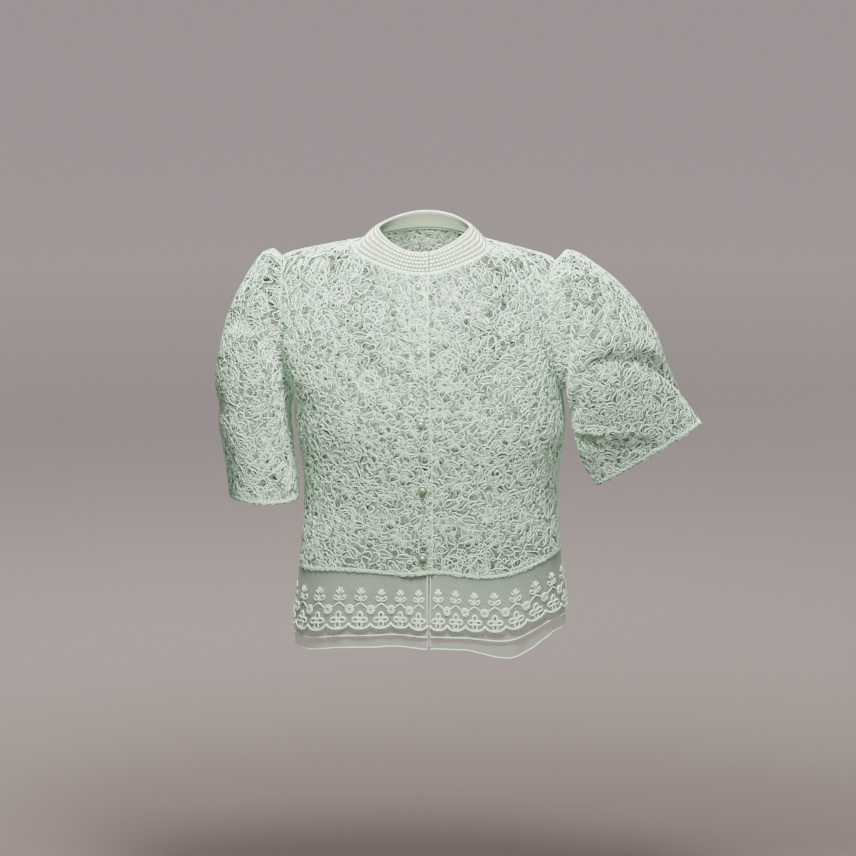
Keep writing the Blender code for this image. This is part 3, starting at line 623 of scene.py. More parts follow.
    def at(self, flat):
        """Give worn points and outward directions at flat places, and which lie inside."""
        nearest = self.tree.find_nearest
        flat = self.drawn(flat)
        places = np.zeros((len(flat), 2))
        faces = np.zeros(len(flat), dtype=int)
        away = np.zeros(len(flat))
        for number, (x, y) in enumerate(flat.tolist()):
            place, _, face, distance = nearest((x, y, 0.0))
            places[number] = place.x, place.y
            faces[number] = face
            away[number] = distance
        corners = self.flat.reshape(-1, 2)
        a, b, c = (corners[self.faces[faces, i]] for i in range(3))
        ab, ac, ap = b - a, c - a, places - a
        whole = ab[:, 0] * ac[:, 1] - ab[:, 1] * ac[:, 0]
        down = (ap[:, 0] * ac[:, 1] - ap[:, 1] * ac[:, 0]) / whole
        over = (ab[:, 0] * ap[:, 1] - ab[:, 1] * ap[:, 0]) / whole
        columns = len(self.column_at) - 1
        cell = faces // 2
        lower = faces % 2 == 1
        row = cell // columns + np.where(lower, 1.0 - down, down)
        column = cell % columns + np.where(lower, 1.0 - over, over)
        row = np.interp(row, np.arange(len(self.row_at)), self.row_at)
        column = np.interp(column, np.arange(len(self.column_at)), self.column_at)
        points, normals = self.sample(row, column)
        return points, normals, away < 0.05


# The cross-section of a raised thread, of a flat band and of a round cord. Columns:
# share of half the width to the left, share of the height
ROOF = [(1.0, 0.0), (0.0, 1.0), (-1.0, 0.0)]
FLAT_BAND = [(1.0, 0.0), (0.86, 1.0), (-0.86, 1.0), (-1.0, 0.0)]
ROUND_CORD = [(0.0, -1.0), (0.87, -0.5), (0.87, 0.5), (0.0, 1.0), (-0.87, 0.5), (-0.87, -0.5)]


def split_faces(corners):
    """Split four-cornered faces into triangles."""
    return np.concatenate([corners[:, [0, 1, 2]], corners[:, [0, 2, 3]]])


class Stitching:
    """Gathers the raised threads and patches of one piece, and makes its mesh."""

    def __init__(self):
        self.points, self.faces, self.places, self.shade_tones = [], [], [], []
        self.count = 0

    def add(self, points, faces, places, shade_tones):
        self.points.append(points)
        self.faces.append(faces + self.count)
        self.places.append(places)
        self.shade_tones.append(shade_tones)
        self.count += len(points)

    def threads(self, centre, normal, shown, after, before, width, height, shade_tone, along,
                section=ROOF, base=0.1):
        """Lay threads along stations, each of which names the one after and before it."""
        count = len(centre)
        number = np.arange(count)
        forward = unit(centre[after] - centre[before])
        left = unit(np.cross(normal, forward))
        ring = len(section)
        points = np.zeros((count, ring, 3))
        places = np.zeros((count, ring, 2))
        for corner, (side, rise) in enumerate(section):
            points[:, corner] = centre + left * (side * width / 2)[:, None]
            points[:, corner] += normal * (base + rise * height)[:, None]
            places[:, corner, 0] = along
            places[:, corner, 1] = side * width / 2
        runs = (after != number) & (shown | shown[after])
        has_before = np.zeros(count, dtype=bool)
        has_before[after[runs]] = True
        here = number[runs] * ring
        there = after[runs] * ring
        faces = []
        for corner in range(ring):
            beside = (corner + 1) % ring
            strip = [here + corner, here + beside, there + beside, there + corner]
            faces.append(split_faces(np.stack(strip, axis=1)))
        for ends, order in ((has_before & ~runs, 1), (runs & ~has_before, -1)):
            first = number[ends] * ring
            for corner in range(1, ring - 1):
                cap = [first, first + corner, first + corner + 1]
                faces.append(np.stack(cap[::order], axis=1))
        self.add(points.reshape(-1, 3), np.concatenate(faces), places.reshape(-1, 2), np.repeat(shade_tone, ring))

    def line(self, centre, normal, width, height, shade_tone, closed=False, section=ROOF, base=0.1):
        """Lay one thread along points that follow each other."""
        count = len(centre)
        after = np.append(np.arange(1, count), 0 if closed else count - 1)
        before = np.append(count - 1 if closed else 0, np.arange(count - 1))
        self.threads(
            centre, normal, np.ones(count, dtype=bool), after, before, np.full(count, width),
            np.full(count, height), np.full(count, shade_tone), distances(centre), section, base,
        )

    def patches(self, centre, normal, shown, rise, inner, faces, places, shade_tone):
        """Lay small domed patches whose rims are shared by their upper and lower faces."""
        whole = shown[faces].all(axis=1)
        cut = np.zeros(len(centre), dtype=bool)
        cut[faces[~whole]] = True
        inner = inner & ~cut
        faces = faces[whole]
        faces = faces[inner[faces].any(axis=1)]
        lower = np.where(inner, np.cumsum(inner) - 1 + len(centre), np.arange(len(centre)))
        top = centre + normal * (0.15 + rise)[:, None]
        below = (centre + normal * 0.05)[inner]
        self.add(
            np.concatenate([top, below]), np.concatenate([faces, lower[faces][:, ::-1]]),
            np.concatenate([places, places[inner]]), np.concatenate([shade_tone, shade_tone[inner]]),
        )

    def make(self, name, material):
        """Make the object, with the threads' own directions as its UV map."""
        points = np.concatenate(self.points) * MM
        faces = np.concatenate(self.faces)
        places = np.concatenate(self.places) * MM
        used = np.unique(faces)
        order = np.zeros(len(points), dtype=np.int32)
        order[used] = np.arange(len(used))
        faces = order[faces].astype(np.int32)
        mesh = bpy.data.meshes.new(name)
        mesh.vertices.add(len(used))
        mesh.vertices.foreach_set("co", points[used].ravel())
        mesh.loops.add(faces.size)
        mesh.loops.foreach_set("vertex_index", faces.ravel())
        mesh.polygons.add(len(faces))
        mesh.polygons.foreach_set("loop_start", np.arange(0, faces.size, 3, dtype=np.int32))
        layer = mesh.uv_layers.new(name="thread")
        layer.uv.foreach_set("vector", places[used][faces.ravel()].ravel())
        shade = mesh.attributes.new("shade_tone", "FLOAT", "POINT")
        shade.data.foreach_set("value", np.concatenate(self.shade_tones)[used])
        mesh.update(calc_edges=True)
        mesh.validate()
        mesh.materials.append(material)
        mesh.shade_smooth()
        item = add_object(name, mesh)
        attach(item, "root")
        return item


# Lace motifs are drawn round their own middle. Thread widths and heights, and shade tones: a low tone is
# painted shade, coloured darker than the raised cords
CORD = (1.4, 1.3, 1.0)
FINE_CORD = (0.95, 0.95, 0.85)
BAR = (0.8, 0.5, 0.25)
WINDING = (1.25, 1.2, 1.0)
STATION = 2.4
# The filled patches lie low and get a very low tone: painted shade.
FILL_SHADE_TONE = 0.1


class Motif:
    """One drawn lace motif: threads, filled patches and the outline that it covers."""

    DIRECTIONS = 72
    TURNS = np.linspace(0.0, 2 * math.pi, DIRECTIONS, endpoint=False)

    def __init__(self, radius):
        self.radius = radius
        self.edge = np.full(self.DIRECTIONS, radius)
        self.lines, self.fills = [], []

    def thread(self, path, kind, closed=False):
        """Add a thread along flat points. Its kind gives its width, height and shade tone."""
        self.lines.append((np.asarray(path, dtype=float), kind, closed))

    def fill(self, rings, dome=0.35):
        """Fill between rows of points, domed between its first and last row and column."""
        self.fills.append((np.asarray(rings, dtype=float), dome, FILL_SHADE_TONE))

    def finish(self):
        """Gather the threads and fills as arrays that can be placed many times."""
        paths, after, before, width, height, shade_tone, along = [], [], [], [], [], [], []
        first = 0
        for path, (wide, high, shade), closed in self.lines:
            count = len(path)
            numbers = np.arange(first, first + count)
            after.append(np.append(numbers[1:], first if closed else first + count - 1))
            before.append(np.append(first + count - 1 if closed else first, numbers[:-1]))
            along.append(distances(path))
            width.append(np.full(count, wide))
            height.append(np.full(count, high))
            shade_tone.append(np.full(count, shade))
            paths.append(path)
            first += count
        self.stations = [np.concatenate(part) for part in (paths, after, before, width, height, shade_tone, along)]
        places, rise, inner = [np.zeros((0, 2))], [np.zeros(0)], [np.zeros(0, dtype=bool)]
        faces, shades = [np.zeros((0, 3), dtype=int)], [np.zeros(0)]
        first = 0
        for rings, dome, shade in self.fills:
            rows, columns, _ = rings.shape
            row = np.linspace(-1.0, 1.0, rows)[:, None]
            column = np.linspace(-1.0, 1.0, columns)[None, :]
            inside = (np.abs(row) < 0.999) & (np.abs(column) < 0.999)
            corners = cell_corners(rows, columns) + first
            b, c = rings[1, 0] - rings[0, 0], rings[0, 1] - rings[0, 0]
            if b[0] * c[1] - b[1] * c[0] < 0:
                corners = corners[:, ::-1]
            faces.append(split_faces(corners))
            places.append(rings.reshape(-1, 2))
            rise.append((dome * (1 - row**2) * (1 - column**2)).ravel() * inside.ravel())
            inner.append(inside.ravel())
            shades.append(np.full(rows * columns, shade))
            first += rows * columns
        self.patches = [np.concatenate(part) for part in (places, rise, inner, faces, shades)]
        return self


def polar(radius, turn):
    return np.stack([radius * np.cos(turn), radius * np.sin(turn)], axis=-1)


def lobed(radius, lobes, depth, phase, turn):
    """Give the radius of a ring of rounded petals at an angle."""
    return radius * (1.0 - depth + depth * np.abs(np.sin(lobes * turn / 2 + phase)) ** 0.7)


def circle(radius, spacing=STATION):
    """Give points round a circle."""
    count = max(7, round(2 * math.pi * radius / spacing))
    return polar(radius, np.linspace(0.0, 2 * math.pi, count, endpoint=False))


def rose(random):
    """Draw an open rose: arcs of petals that overlap round a coiled heart."""
    radii = [3.0, 6.6, 10.6, 14.6]
    petals = [2, 3, 4, 5]
    motif = Motif(radii[-1])
    turn = np.linspace(0.0, 5.5, 6)
    motif.thread(polar(np.linspace(0.8, 2.6, 6), turn), FINE_CORD)
    for number in range(1, 4):
        start = random.uniform(0.0, 6.28)
        wide = 2 * math.pi / petals[number]
        outer, inner = radii[number], radii[number - 1]
        for petal in range(petals[number]):
            swell = random.uniform(0.92, 1.08)
            share = np.linspace(0.0, 1.0, max(5, round(outer * wide * 1.25 / STATION)))
            turn = start + wide * (petal + share * 1.18 - 0.09)
            reach = inner + (outer * swell - inner) * np.minimum(1.0, np.sin(math.pi * share) * 1.5) ** 0.7
            motif.thread(polar(reach, turn), CORD)
            inside = np.linspace(0.16, 0.84, 5)
            rim = np.interp(inside, share, reach)
            place = start + wide * (petal + inside * 1.18 - 0.09)
            low = inner + (rim - inner) * 0.4
            motif.fill([polar(low, place), polar((low + rim) / 2, place), polar(rim, place)])
            for stroke in np.linspace(0.2, 0.8, petals[number] - 1 if number < 3 else 4):
                bent = start + wide * (petal + stroke * 1.18 - 0.09) + np.array([0.0, 0.06, 0.16])
                rim = float(np.interp(stroke, share, reach))
                radius = np.array([rim - 0.6, (rim + inner) / 2, inner + 0.5])
                motif.thread(polar(radius, bent), FINE_CORD)
    return motif.finish()


def ring_flower(random, petals):
    """Draw a flower of rounded petals round a ring, with strokes that spread from it."""
    outer = random.uniform(15.5, 20.5)
    inner = 4.4
    motif = Motif(outer)
    start = random.uniform(0.0, 1.0)
    motif.thread(circle(inner * 0.72, 2.0), FINE_CORD, closed=True)
    share = np.linspace(0.0, 1.0, 6)
    half = math.pi / petals * 0.96
    for petal in range(petals):
        middle = start + 2 * math.pi * petal / petals
        length = outer - inner - random.uniform(0.0, 1.5)

        def side(spread, reach):
            turn = middle + spread * half * np.sin(math.pi * share**0.6) ** 0.7
            return polar(inner + length * reach * share, turn)

        motif.thread(np.concatenate([side(1.0, 1.0), side(-1.0, 1.0)[-2:0:-1]]), CORD, closed=True)
        for spread, near, reach in ((-0.5, 0.3, 0.66), (0.0, 0.06, 0.72), (0.5, 0.3, 0.66)):
            turn = np.full(3, middle) + spread * half * np.array([0.8, 0.92, 1.0])
            motif.thread(polar(inner + length * np.array([near, (near + reach) / 2, reach]), turn), FINE_CORD)
        rows = np.stack([side(0.9, 0.95), side(0.0, 1.0) * 0.86, side(-0.9, 0.95)])
        motif.fill(rows[:, 2:])
    motif.edge = lobed(outer - 0.5, petals, 0.3, petals * (math.pi / petals - start) / 2, Motif.TURNS)
    return motif.finish()


def leaf(random):
    """Draw a leaf with a midrib and one half filled."""
    length, half = random.uniform(18.0, 24.0), random.uniform(4.6, 5.8)
    motif = Motif(length / 2)
    share = np.linspace(0.0, 1.0, 8)
    bend = random.uniform(-3.0, 3.0)

    def across(side):
        bow = bend * (1 - (2 * share - 1) ** 2)
        return np.stack([(share - 0.5) * length, bow + side * half * np.sin(math.pi * share**0.85)], axis=1)

    motif.thread(np.concatenate([across(1.0), across(-1.0)[-2:0:-1]]), CORD, closed=True)
    motif.thread(across(0.0)[::2], FINE_CORD)
    filled = 1.0 if random.uniform() < 0.5 else -1.0
    motif.fill([across(level * filled)[1:-1] for level in (0.08, 0.5, 0.94)])
    rib, edge = across(0.0), across(-0.9 * filled)
    for vein in range(1, 6):
        motif.thread(np.stack([rib[vein], edge[vein + 1]]), BAR)
    reach = np.abs(np.cos(Motif.TURNS)) / (length / 2) + np.abs(np.sin(Motif.TURNS)) / half * 0.9
    motif.edge = 1.0 / reach + 0.6
    return motif.finish()


def blossom(random, petals, radius):
    """Draw a small blossom of round petals."""
    motif = Motif(radius)
    start = random.uniform(0.0, 6.28)
    size = radius * math.sin(math.pi / petals) / (1 + math.sin(math.pi / petals))
    for petal in range(petals):
        middle = polar(radius - size, start + 2 * math.pi * petal / petals)
        motif.thread(middle + circle(size), WINDING, closed=True)
    strip = np.linspace(-0.8, 0.8, 4)
    rows = [np.stack([strip, level * np.sqrt(1 - strip**2)], axis=1) * radius * 0.5 for level in (-1, 0, 1)]
    motif.fill(rows, 0.4)
    motif.edge = lobed(radius, petals, 0.25, petals * (math.pi / petals - start) / 2, Motif.TURNS)
    return motif.finish()


def loop(random):
    """Draw a small curled ring."""
    radius = random.uniform(2.0, 3.2)
    motif = Motif(radius + 0.3)
    turn = random.uniform(0.0, 6.28) + np.linspace(0.0, 6.9, 8)
    motif.thread(polar(np.linspace(radius, radius * 0.75, 8), turn), WINDING)
    return motif.finish()


def winding(random):
    """Draw a short cord that winds between the motifs."""
    length = random.uniform(7.0, 15.0)
    count = max(4, round(length / STATION) + 1)
    along = np.linspace(-0.5, 0.5, count)
    bend, swing = random.uniform(0.4, 2.4), random.uniform(-1.6, 1.6)
    turn = bend * along + swing * (along**2 - 1 / 12)
    step = length / (count - 1)
    path = np.cumsum(polar(np.full(count, step), turn), axis=0)
    motif = Motif(length / 2)
    motif.thread(path - path.mean(axis=0), WINDING)
    motif.edge = 1.0 / np.hypot(np.cos(Motif.TURNS) / (length / 2), np.sin(Motif.TURNS) / 2.0)
    return motif.finish()


def scroll(random):
    """Draw a curved stem that curls up at one end."""
    turn = np.linspace(0.0, random.uniform(3.4, 4.4), 9)
    radius = np.linspace(8.5, 2.0, 9)
    path = polar(radius, turn)
    motif = Motif(7.5)
    motif.thread(path - path.mean(axis=0), CORD)
    motif.edge = np.full(Motif.DIRECTIONS, 5.5)
    return motif.finish()


class Cover:
    """A raster of a panel's flat cut that marks where motifs already lie."""

    CELL = 0.9

    def __init__(self, pattern):
        self.low = pattern.low - 12.0
        size = ((pattern.high + 12.0 - self.low) / self.CELL).astype(int) + 2
        self.taken = np.zeros(size, dtype=bool)

    def cells(self, motif, place, turn):
        """List the cells that a motif would cover, and whether each is in its outline."""
        reach = int(motif.edge.max() / self.CELL) + 1
        middle = ((place - self.low) / self.CELL).astype(int)
        step = np.arange(-reach, reach + 1)
        x, y = np.meshgrid(middle[0] + step, middle[1] + step, indexing="ij")
        x, y = np.clip(x, 0, self.taken.shape[0] - 1), np.clip(y, 0, self.taken.shape[1] - 1)
        dx, dy = x * self.CELL + self.low[0] - place[0], y * self.CELL + self.low[1] - place[1]
        direction = (np.arctan2(dy, dx) - turn) / (2 * math.pi) % 1.0 * Motif.DIRECTIONS
        edge = motif.edge[direction.astype(int) % Motif.DIRECTIONS]
        inside = dx * dx + dy * dy < edge * edge
        return x[inside], y[inside]

    def try_motif(self, motif, place, turn, allowed):
        x, y = self.cells(motif, place, turn)
        if self.taken[x, y].mean() > allowed:
            return False
        self.taken[x, y] = True
        return True

    def covered(self, places):
        cell = ((places - self.low) / self.CELL).astype(int)
        cell = np.clip(cell, 0, np.array(self.taken.shape) - 1)
        return self.taken[cell[:, 0], cell[:, 1]]


# How the lace is filled, large motifs first. Columns: kinds of motif, tries for each
# 10,000 square millimetres, share of a motif that may lie on earlier ones
LACE_FILLING = [
    (("rose", "flower_5", "flower_6", "flower_7"), 48, 0.04),
    (("leaf", "scroll"), 70, 0.12),
    (("blossom_5", "blossom_6"), 40, 0.1),
    (("winding", "winding", "loop"), 450, 0.2),
    (("winding",), 650, 0.28),
]
# Motifs of the lace. Columns: how each is drawn, its own sizes, how many variants
MOTIFS = {
    "rose": (rose, (), 7),
    "flower_5": (ring_flower, (5,), 7),
    "flower_6": (ring_flower, (6,), 7),
    "flower_7": (ring_flower, (7,), 7),
    "leaf": (leaf, (), 7),
    "scroll": (scroll, (), 7),
    "blossom_5": (blossom, (5, 7.6), 7),
    "blossom_6": (blossom, (6, 8.8), 7),
    "loop": (loop, (), 7),
    "winding": (winding, (), 21),
}
# Net: step of its knots, width, height and shade tone of its bars. The low tone paints the net dark: painted
# shade between the motifs
NET_STEP = 4.2
NET_BAR = (1.1, 0.5, 0.16)


def draw_motifs():
    """Draw the variants of each lace motif once."""
    random = np.random.default_rng(7)
    return {
        name: [draw(random, *sizes) for _ in range(variants)]
        for name, (draw, sizes, variants) in MOTIFS.items()
    }


def lay_out(pattern, motifs, seed):
    """Place motifs over a flat cut, and mark what they cover."""
    random = np.random.default_rng(seed)
    cover = Cover(pattern)
    area = np.prod(pattern.high - pattern.low)
    placed = []
    for kinds, tries, allowed in LACE_FILLING:
        count = int(area / 10000.0 * tries)
        places = random.uniform(pattern.low, pattern.high, size=(count, 2))
        turns = random.uniform(0.0, 2 * math.pi, size=count)
        choices = random.integers(0, 1000, size=(count, 2))
        for place, turn, (kind, variant) in zip(places, turns, choices):
            family = motifs[kinds[kind % len(kinds)]]
            motif = family[variant % len(family)]
            _, _, _, away = pattern.tree.find_nearest((place[0], place[1], 0.0))
            if away > motif.radius * 0.8:
                continue
            if cover.try_motif(motif, place, turn, allowed):
                placed.append((motif, place, turn))
    return placed, cover


def add_lace(pattern, motifs, seed, threads, ground):
    """Lay corded lace over a panel: threads in one mesh, its fills and net in another."""
    placed, cover = lay_out(pattern, motifs, seed)
    stations = [[] for _ in range(7)]
    fills = [[] for _ in range(6)]
    first, first_fill = 0, 0
    outline = []
    for motif, place, turn in placed:
        swing = np.array([[math.cos(turn), math.sin(turn)], [-math.sin(turn), math.cos(turn)]])
        path, after, before, *sizes = motif.stations
        laid = (path @ swing + place, after + first, before + first, *sizes)
        for part, value in zip(stations, laid):
            part.append(value)
        first += len(path)
        places, rise, inner, faces, shades = motif.patches
        laid = (places @ swing + place, rise, inner, faces + first_fill, shades, places)
        for part, value in zip(fills, laid):
            part.append(value)
        first_fill += len(places)
        steps = max(6, int(2 * math.pi * motif.radius / NET_STEP))
        pick = np.arange(steps) / steps
        rim = motif.edge[(pick * Motif.DIRECTIONS).astype(int)]
        outline.append(polar(rim, pick * 2 * math.pi) @ swing + place)
    path, *sizes = [np.concatenate(part) for part in stations]
    threads.threads(*pattern.at(path), *sizes)
    places, rise, inner, faces, shades, own = [np.concatenate(part) for part in fills]
    centre, normal, shown = pattern.at(places)
    ground.patches(centre, normal, shown, rise, inner, faces, own, shades)
    add_net(pattern, cover, np.concatenate(outline), seed, ground)


def add_net(pattern, cover, outline, seed, ground):
    """Join the motifs by an uneven net of fine bars."""
    random = np.random.default_rng(seed + 100)
    low, high = pattern.low, pattern.high
    x, y = np.meshgrid(np.arange(low[0], high[0], NET_STEP), np.arange(low[1], high[1], NET_STEP))
    loose = np.stack([x.ravel(), y.ravel()], axis=1)
    loose = loose + random.uniform(-0.35, 0.35, size=loose.shape) * NET_STEP
    loose = loose[~cover.covered(loose)]
    nodes = np.concatenate([outline, loose])
    centre, normal, shown = pattern.at(nodes)
    nodes, centre, normal = nodes[shown], centre[shown], normal[shown]
    made = delaunay_2d_cdt([Vector(node) for node in nodes.tolist()], [], [], 0, 1e-4)
    origin = np.array([source[0] if source else -1 for source in made[3]])
    edges = origin[np.array(made[1])]
    edges = edges[(edges >= 0).all(axis=1)]
    a, b = nodes[edges[:, 0]], nodes[edges[:, 1]]
    length = np.linalg.norm(b - a, axis=1)
    open_middle = ~cover.covered((a + b) / 2)
    chosen = random.uniform(size=len(edges)) > 0.42
    edges = edges[open_middle & chosen & (length > 1.4) & (length < 9.0)]
    ends = edges.ravel()
    number = np.arange(len(ends))
    after = np.where(number % 2 == 0, number + 1, number)
    before = np.where(number % 2 == 0, number, number - 1)
    width, height, shade_tone = [np.full(len(ends), size) for size in NET_BAR]
    shown = np.ones(len(ends), dtype=bool)
    ground.threads(centre[ends], normal[ends], shown, after, before, width, height, shade_tone, (number % 2) * 4.0)


def edge_path(points, inner, offset):
    """Move an edge line of a grid inwards by a distance."""
    return points + unit(inner - points) * offset


def add_borders(pattern, stitching, borders):
    """Lay bands along the edges of a panel. Each names its side, width, height and shade tone."""
    points, normals = pattern.points, pattern.normals
    sides = {
        "top": (points[0], points[2], normals[0]),
        "hem": (points[-1], points[-3], normals[-1]),
        "first": (points[:, 0], points[:, 2], normals[:, 0]),
        "last": (points[:, -1], points[:, -3], normals[:, -1]),
    }
    for side, width, height, shade_tone in borders:
        line, inner, normal = sides[side]
        centre = edge_path(line, inner, width / 2 - 0.2)
        stitching.line(centre, normal, width, height, shade_tone, section=FLAT_BAND, base=0.12)
        if side == "hem":
            add_edging(stitching, line, inner, normal, width, height)


def add_edging(stitching, line, inner, normal, width, height):
    """Lay two winding cords along an edge band."""
    reach = distances(line)
    along = np.linspace(0.0, reach[-1], int(reach[-1] / 1.3))
    line, inner, normal = (
        np.stack([np.interp(along, reach, grid[:, axis]) for axis in range(3)], axis=1)
        for grid in (line, inner, normal)
    )
    normal = unit(normal)
    for wave, size in ((5.1, 0.34), (7.3, 0.27)):
        sway = width * (0.46 + size * np.sin(along * 2 * math.pi / wave + 0.8 * np.sin(along * 0.11)))
        centre = edge_path(line, inner, sway[:, None])
        stitching.line(centre, normal, 1.3, 1.1, 1.0, base=height * 0.6)


class Shade:
    """A value or colour in a material's nodes, on which ordinary maths can be done."""

    def __init__(self, tree, socket):
        self.tree = tree
        self.socket = socket

    def node(self, kind, inputs, output=0, **settings):
        """Add any node with its inputs joined or set, and give one of its outputs."""
        node = self.tree.nodes.new(kind)
        for name, value in settings.items():
            setattr(node, name, value)
        for place, value in inputs.items():
            if isinstance(value, Shade):
                self.tree.links.new(value.socket, node.inputs[place])
            else:
                node.inputs[place].default_value = value
        return Shade(self.tree, node.outputs[output])

    def maths(self, operation, first, second=0.0):
        return self.node("ShaderNodeMath", {0: first, 1: second}, operation=operation)

    def __add__(self, other):
        return self.maths("ADD", self, other)

    def __sub__(self, other):
        return self.maths("SUBTRACT", self, other)

    def __mul__(self, other):
        return self.maths("MULTIPLY", self, other)

    def sine(self):
        return self.maths("SINE", self)

    def clamped(self):
        return self.node("ShaderNodeClamp", {0: self})

    def part(self, number):
        return self.node("ShaderNodeSeparateXYZ", {0: self}, number)

    def noise(self, scale, detail):
        return self.node("ShaderNodeTexNoise", {"Vector": self, "Scale": scale, "Detail": detail})

    def between(self, dark, light):
        """Mix two colours by this value."""
        return self.node("ShaderNodeMix", {0: self, 6: (*dark, 1.0), 7: (*light, 1.0)}, 2, data_type="RGBA")

    def bump(self, distance, strength):
        return self.node("ShaderNodeBump", {"Height": self, "Distance": distance, "Strength": strength})


class Material:
    """A material with its main shader and the places that its patterns are read at."""

    def __init__(self, name, roughness, **constants):
        self.made = bpy.data.materials.new(name)
        self.made.use_nodes = True
        self.tree = self.made.node_tree
        self.shader = self.tree.nodes["Principled BSDF"]
        self.shader.inputs["Roughness"].default_value = roughness
        for socket, value in constants.items():
            self.shader.inputs[socket.replace("_", " ").title()].default_value = value
        where = self.tree.nodes.new("ShaderNodeTexCoord")
        self.place = Shade(self.tree, where.outputs["Object"])

    def attribute(self, name):
        return self.place.node("ShaderNodeAttribute", {}, 2, attribute_name=name)

    def thread(self):
        return self.place.node("ShaderNodeUVMap", {}, uv_map="thread")

    def set(self, socket, shade):
        self.tree.links.new(shade.socket, self.shader.inputs[socket])


def thread_material(name, dark, light, sheen):
    """Corded thread with fine slanted stitches. Painted shade: threads of low shade tone, the low ground, are
    coloured towards the dark colour, darker than the raised cords.
    """
    material = Material(name, 0.72, sheen_weight=sheen, sheen_roughness=0.5)
    thread = material.thread()
    stitches = (thread.part(0) * 13000.0 + thread.part(1) * 7000.0).sine()
    grain = material.place.noise(900.0, 3.0)
    cloud = material.place.noise(14.0, 3.0)
    shade_tone = material.attribute("shade_tone")
    level = (shade_tone + (grain - 0.5) * 0.25 + (cloud - 0.5) * 0.3 + stitches * 0.03).clamped()
    material.set("Base Color", level.between(dark, light))
    material.set("Normal", (stitches * 0.5 + grain).bump(0.00025, 0.7))
    return material.made


def organza_material():
    """Sheer plain weave: crossing fine threads, a little uneven, with a soft sheen. Its colour is a dark
    grey-green, far below the ivory of the threads: painted shade.
    """
    material = Material("organza", 0.5, sheen_weight=0.25, sheen_roughness=0.4)
    cloth = material.thread()
    warp, weft = (cloth.part(0) * 9000.0).sine(), (cloth.part(1) * 9000.0).sine()
    streaks = material.place.noise(60.0, 2.0)
    weave = (warp + weft) * 0.07 + (streaks - 0.5) * 0.12
    material.set("Alpha", (weave + 0.44).clamped())
    material.set("Base Color", (weave * 2.0 + 0.5).clamped().between((0.19, 0.25, 0.19), (0.40, 0.49, 0.40)))
    material.set("Normal", (warp + weft).bump(0.00008, 0.5))
    return material.made


def pearl_material(name, dark, light):
    """Imitation pearl: slightly uneven and partly metallic, under a clear coat."""
    material = Material(name, 0.42, metallic=0.75, coat_weight=0.5, coat_roughness=0.2)
    cloud = material.place.noise(260.0, 2.0)
    material.set("Base Color", (cloud * 1.6 - 0.3).clamped().between(dark, light))
    material.set("Roughness", cloud * 0.14 + 0.36)
    return material.made


def ribbon_material():
    """Fine ribbed ribbon under the beads, coloured near black: painted shade in the gaps between the pearls.
    """
    material = Material("ribbon", 0.55, sheen_weight=0.3)
    ribs = (material.thread().part(0) * 7000.0).sine()
    grain = material.place.noise(500.0, 2.0)
    level = (ribs * 0.15 + grain).clamped()
    material.set("Base Color", level.between((0.12, 0.15, 0.09), (0.24, 0.28, 0.18)))
    material.set("Normal", ribs.bump(0.0002, 0.6))
    return material.made


def backdrop_material():
    """Matt seamless paper, with painted shade: dark near the middle, under the blouse, and paler further out.
    """
    material = Material("backdrop", 0.95)
    far = material.place.node("ShaderNodeVectorMath", {0: material.place}, 1, operation="LENGTH")
    level = (far * 0.2 - 0.1).clamped()
    material.set("Base Color", level.between((0.13, 0.094, 0.085), (0.97, 0.80, 0.77)))
    return material.made


def cloth_sheet(name, points, material, faces=None, flat=None):
    """Make a single sheet of cloth from a grid, or from faces over loose points."""
    if faces is None:
        faces = cell_corners(*points.shape[:2])
        points = points.reshape(-1, 3)
    mesh = bpy.data.meshes.new(name)
    mesh.from_pydata((points * MM).tolist(), [], faces.tolist())
    layer = mesh.uv_layers.new(name="thread")
    layer.uv.foreach_set("vector", (flat.reshape(-1, 2) * MM)[faces.ravel()].ravel())
    mesh.materials.append(material)
    mesh.shade_smooth()
    mesh.update()
    item = add_object(name, mesh)
    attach(item, "root")
    return item


class Layer:
    """A part of a peplum layer: flat places across and down it, and where they are worn."""

    def __init__(self, start, end, width, length, inside, further, flutter=0.0):
        self.start, self.end, self.width, self.length = start, end, width, length
        self.inside, self.further, self.flutter = inside, further, flutter

    def points(self, across, down):
        angle = self.start + (self.end - self.start) * across / self.width
        longer = peplum_length(angle, self.length) / self.length
        deep = self.inside + self.further * down / self.length
        ripple = 0.6 * sin_of(angle * 23.0 + 40.0) + 0.5 * sin_of(angle * 37.0)
        ripple = ripple + 0.5 * sin_of(angle * 16.0 + 80.0)
        deep = deep - self.flutter * ripple * smoothstep(0.3, 1.0, down / self.length)
        return peplum(angle, down * longer, deep)

    def at(self, places):
        """Give worn points and outward directions at flat places."""
        across, down = places[:, 0], places[:, 1]
        step = 0.4
        centre = self.points(across, down)
        over = self.points(across + step, down) - self.points(across - step, down)
        below = self.points(across, down + step) - self.points(across, down - step)
        return centre, unit(np.cross(below, over))

    def sew(self, stitching, path, kind, closed=False, section=ROOF, base=0.1):
        """Lay a thread along a flat path."""
        centre, normal = self.at(np.asarray(path, dtype=float))
        stitching.line(centre, normal, kind[0], kind[1], kind[2], closed, section, base)


# Eyelets of one scallop. Columns: place across, height above the lowest edge, turn
EYELETS = [(0.0, 6.5, 90.0), (-5.6, 12.4, 0.0), (5.6, 12.4, 0.0), (0.0, 18.3, 90.0)]
EYELET_LENGTH = 5.6
EYELET_WIDTH = 3.8


def oval(middle, length, width, turn, count):
    """Give points round an oval, its length turned in degrees."""
    round_it = np.linspace(0.0, 2 * math.pi, count, endpoint=False)
    along, across = np.cos(round_it) * length / 2, np.sin(round_it) * width / 2
    return np.stack([
        middle[0] + along * cos_of(turn) - across * sin_of(turn),
        middle[1] + along * sin_of(turn) + across * cos_of(turn),
    ], axis=1)


def scalloped(layer, edge, pitch, inset=0.0):
    """Give flat places along the scalloped edge of a layer, or a little inside it."""
    return np.stack([edge, layer.length - scallop_drop(edge / pitch) - inset], axis=1)


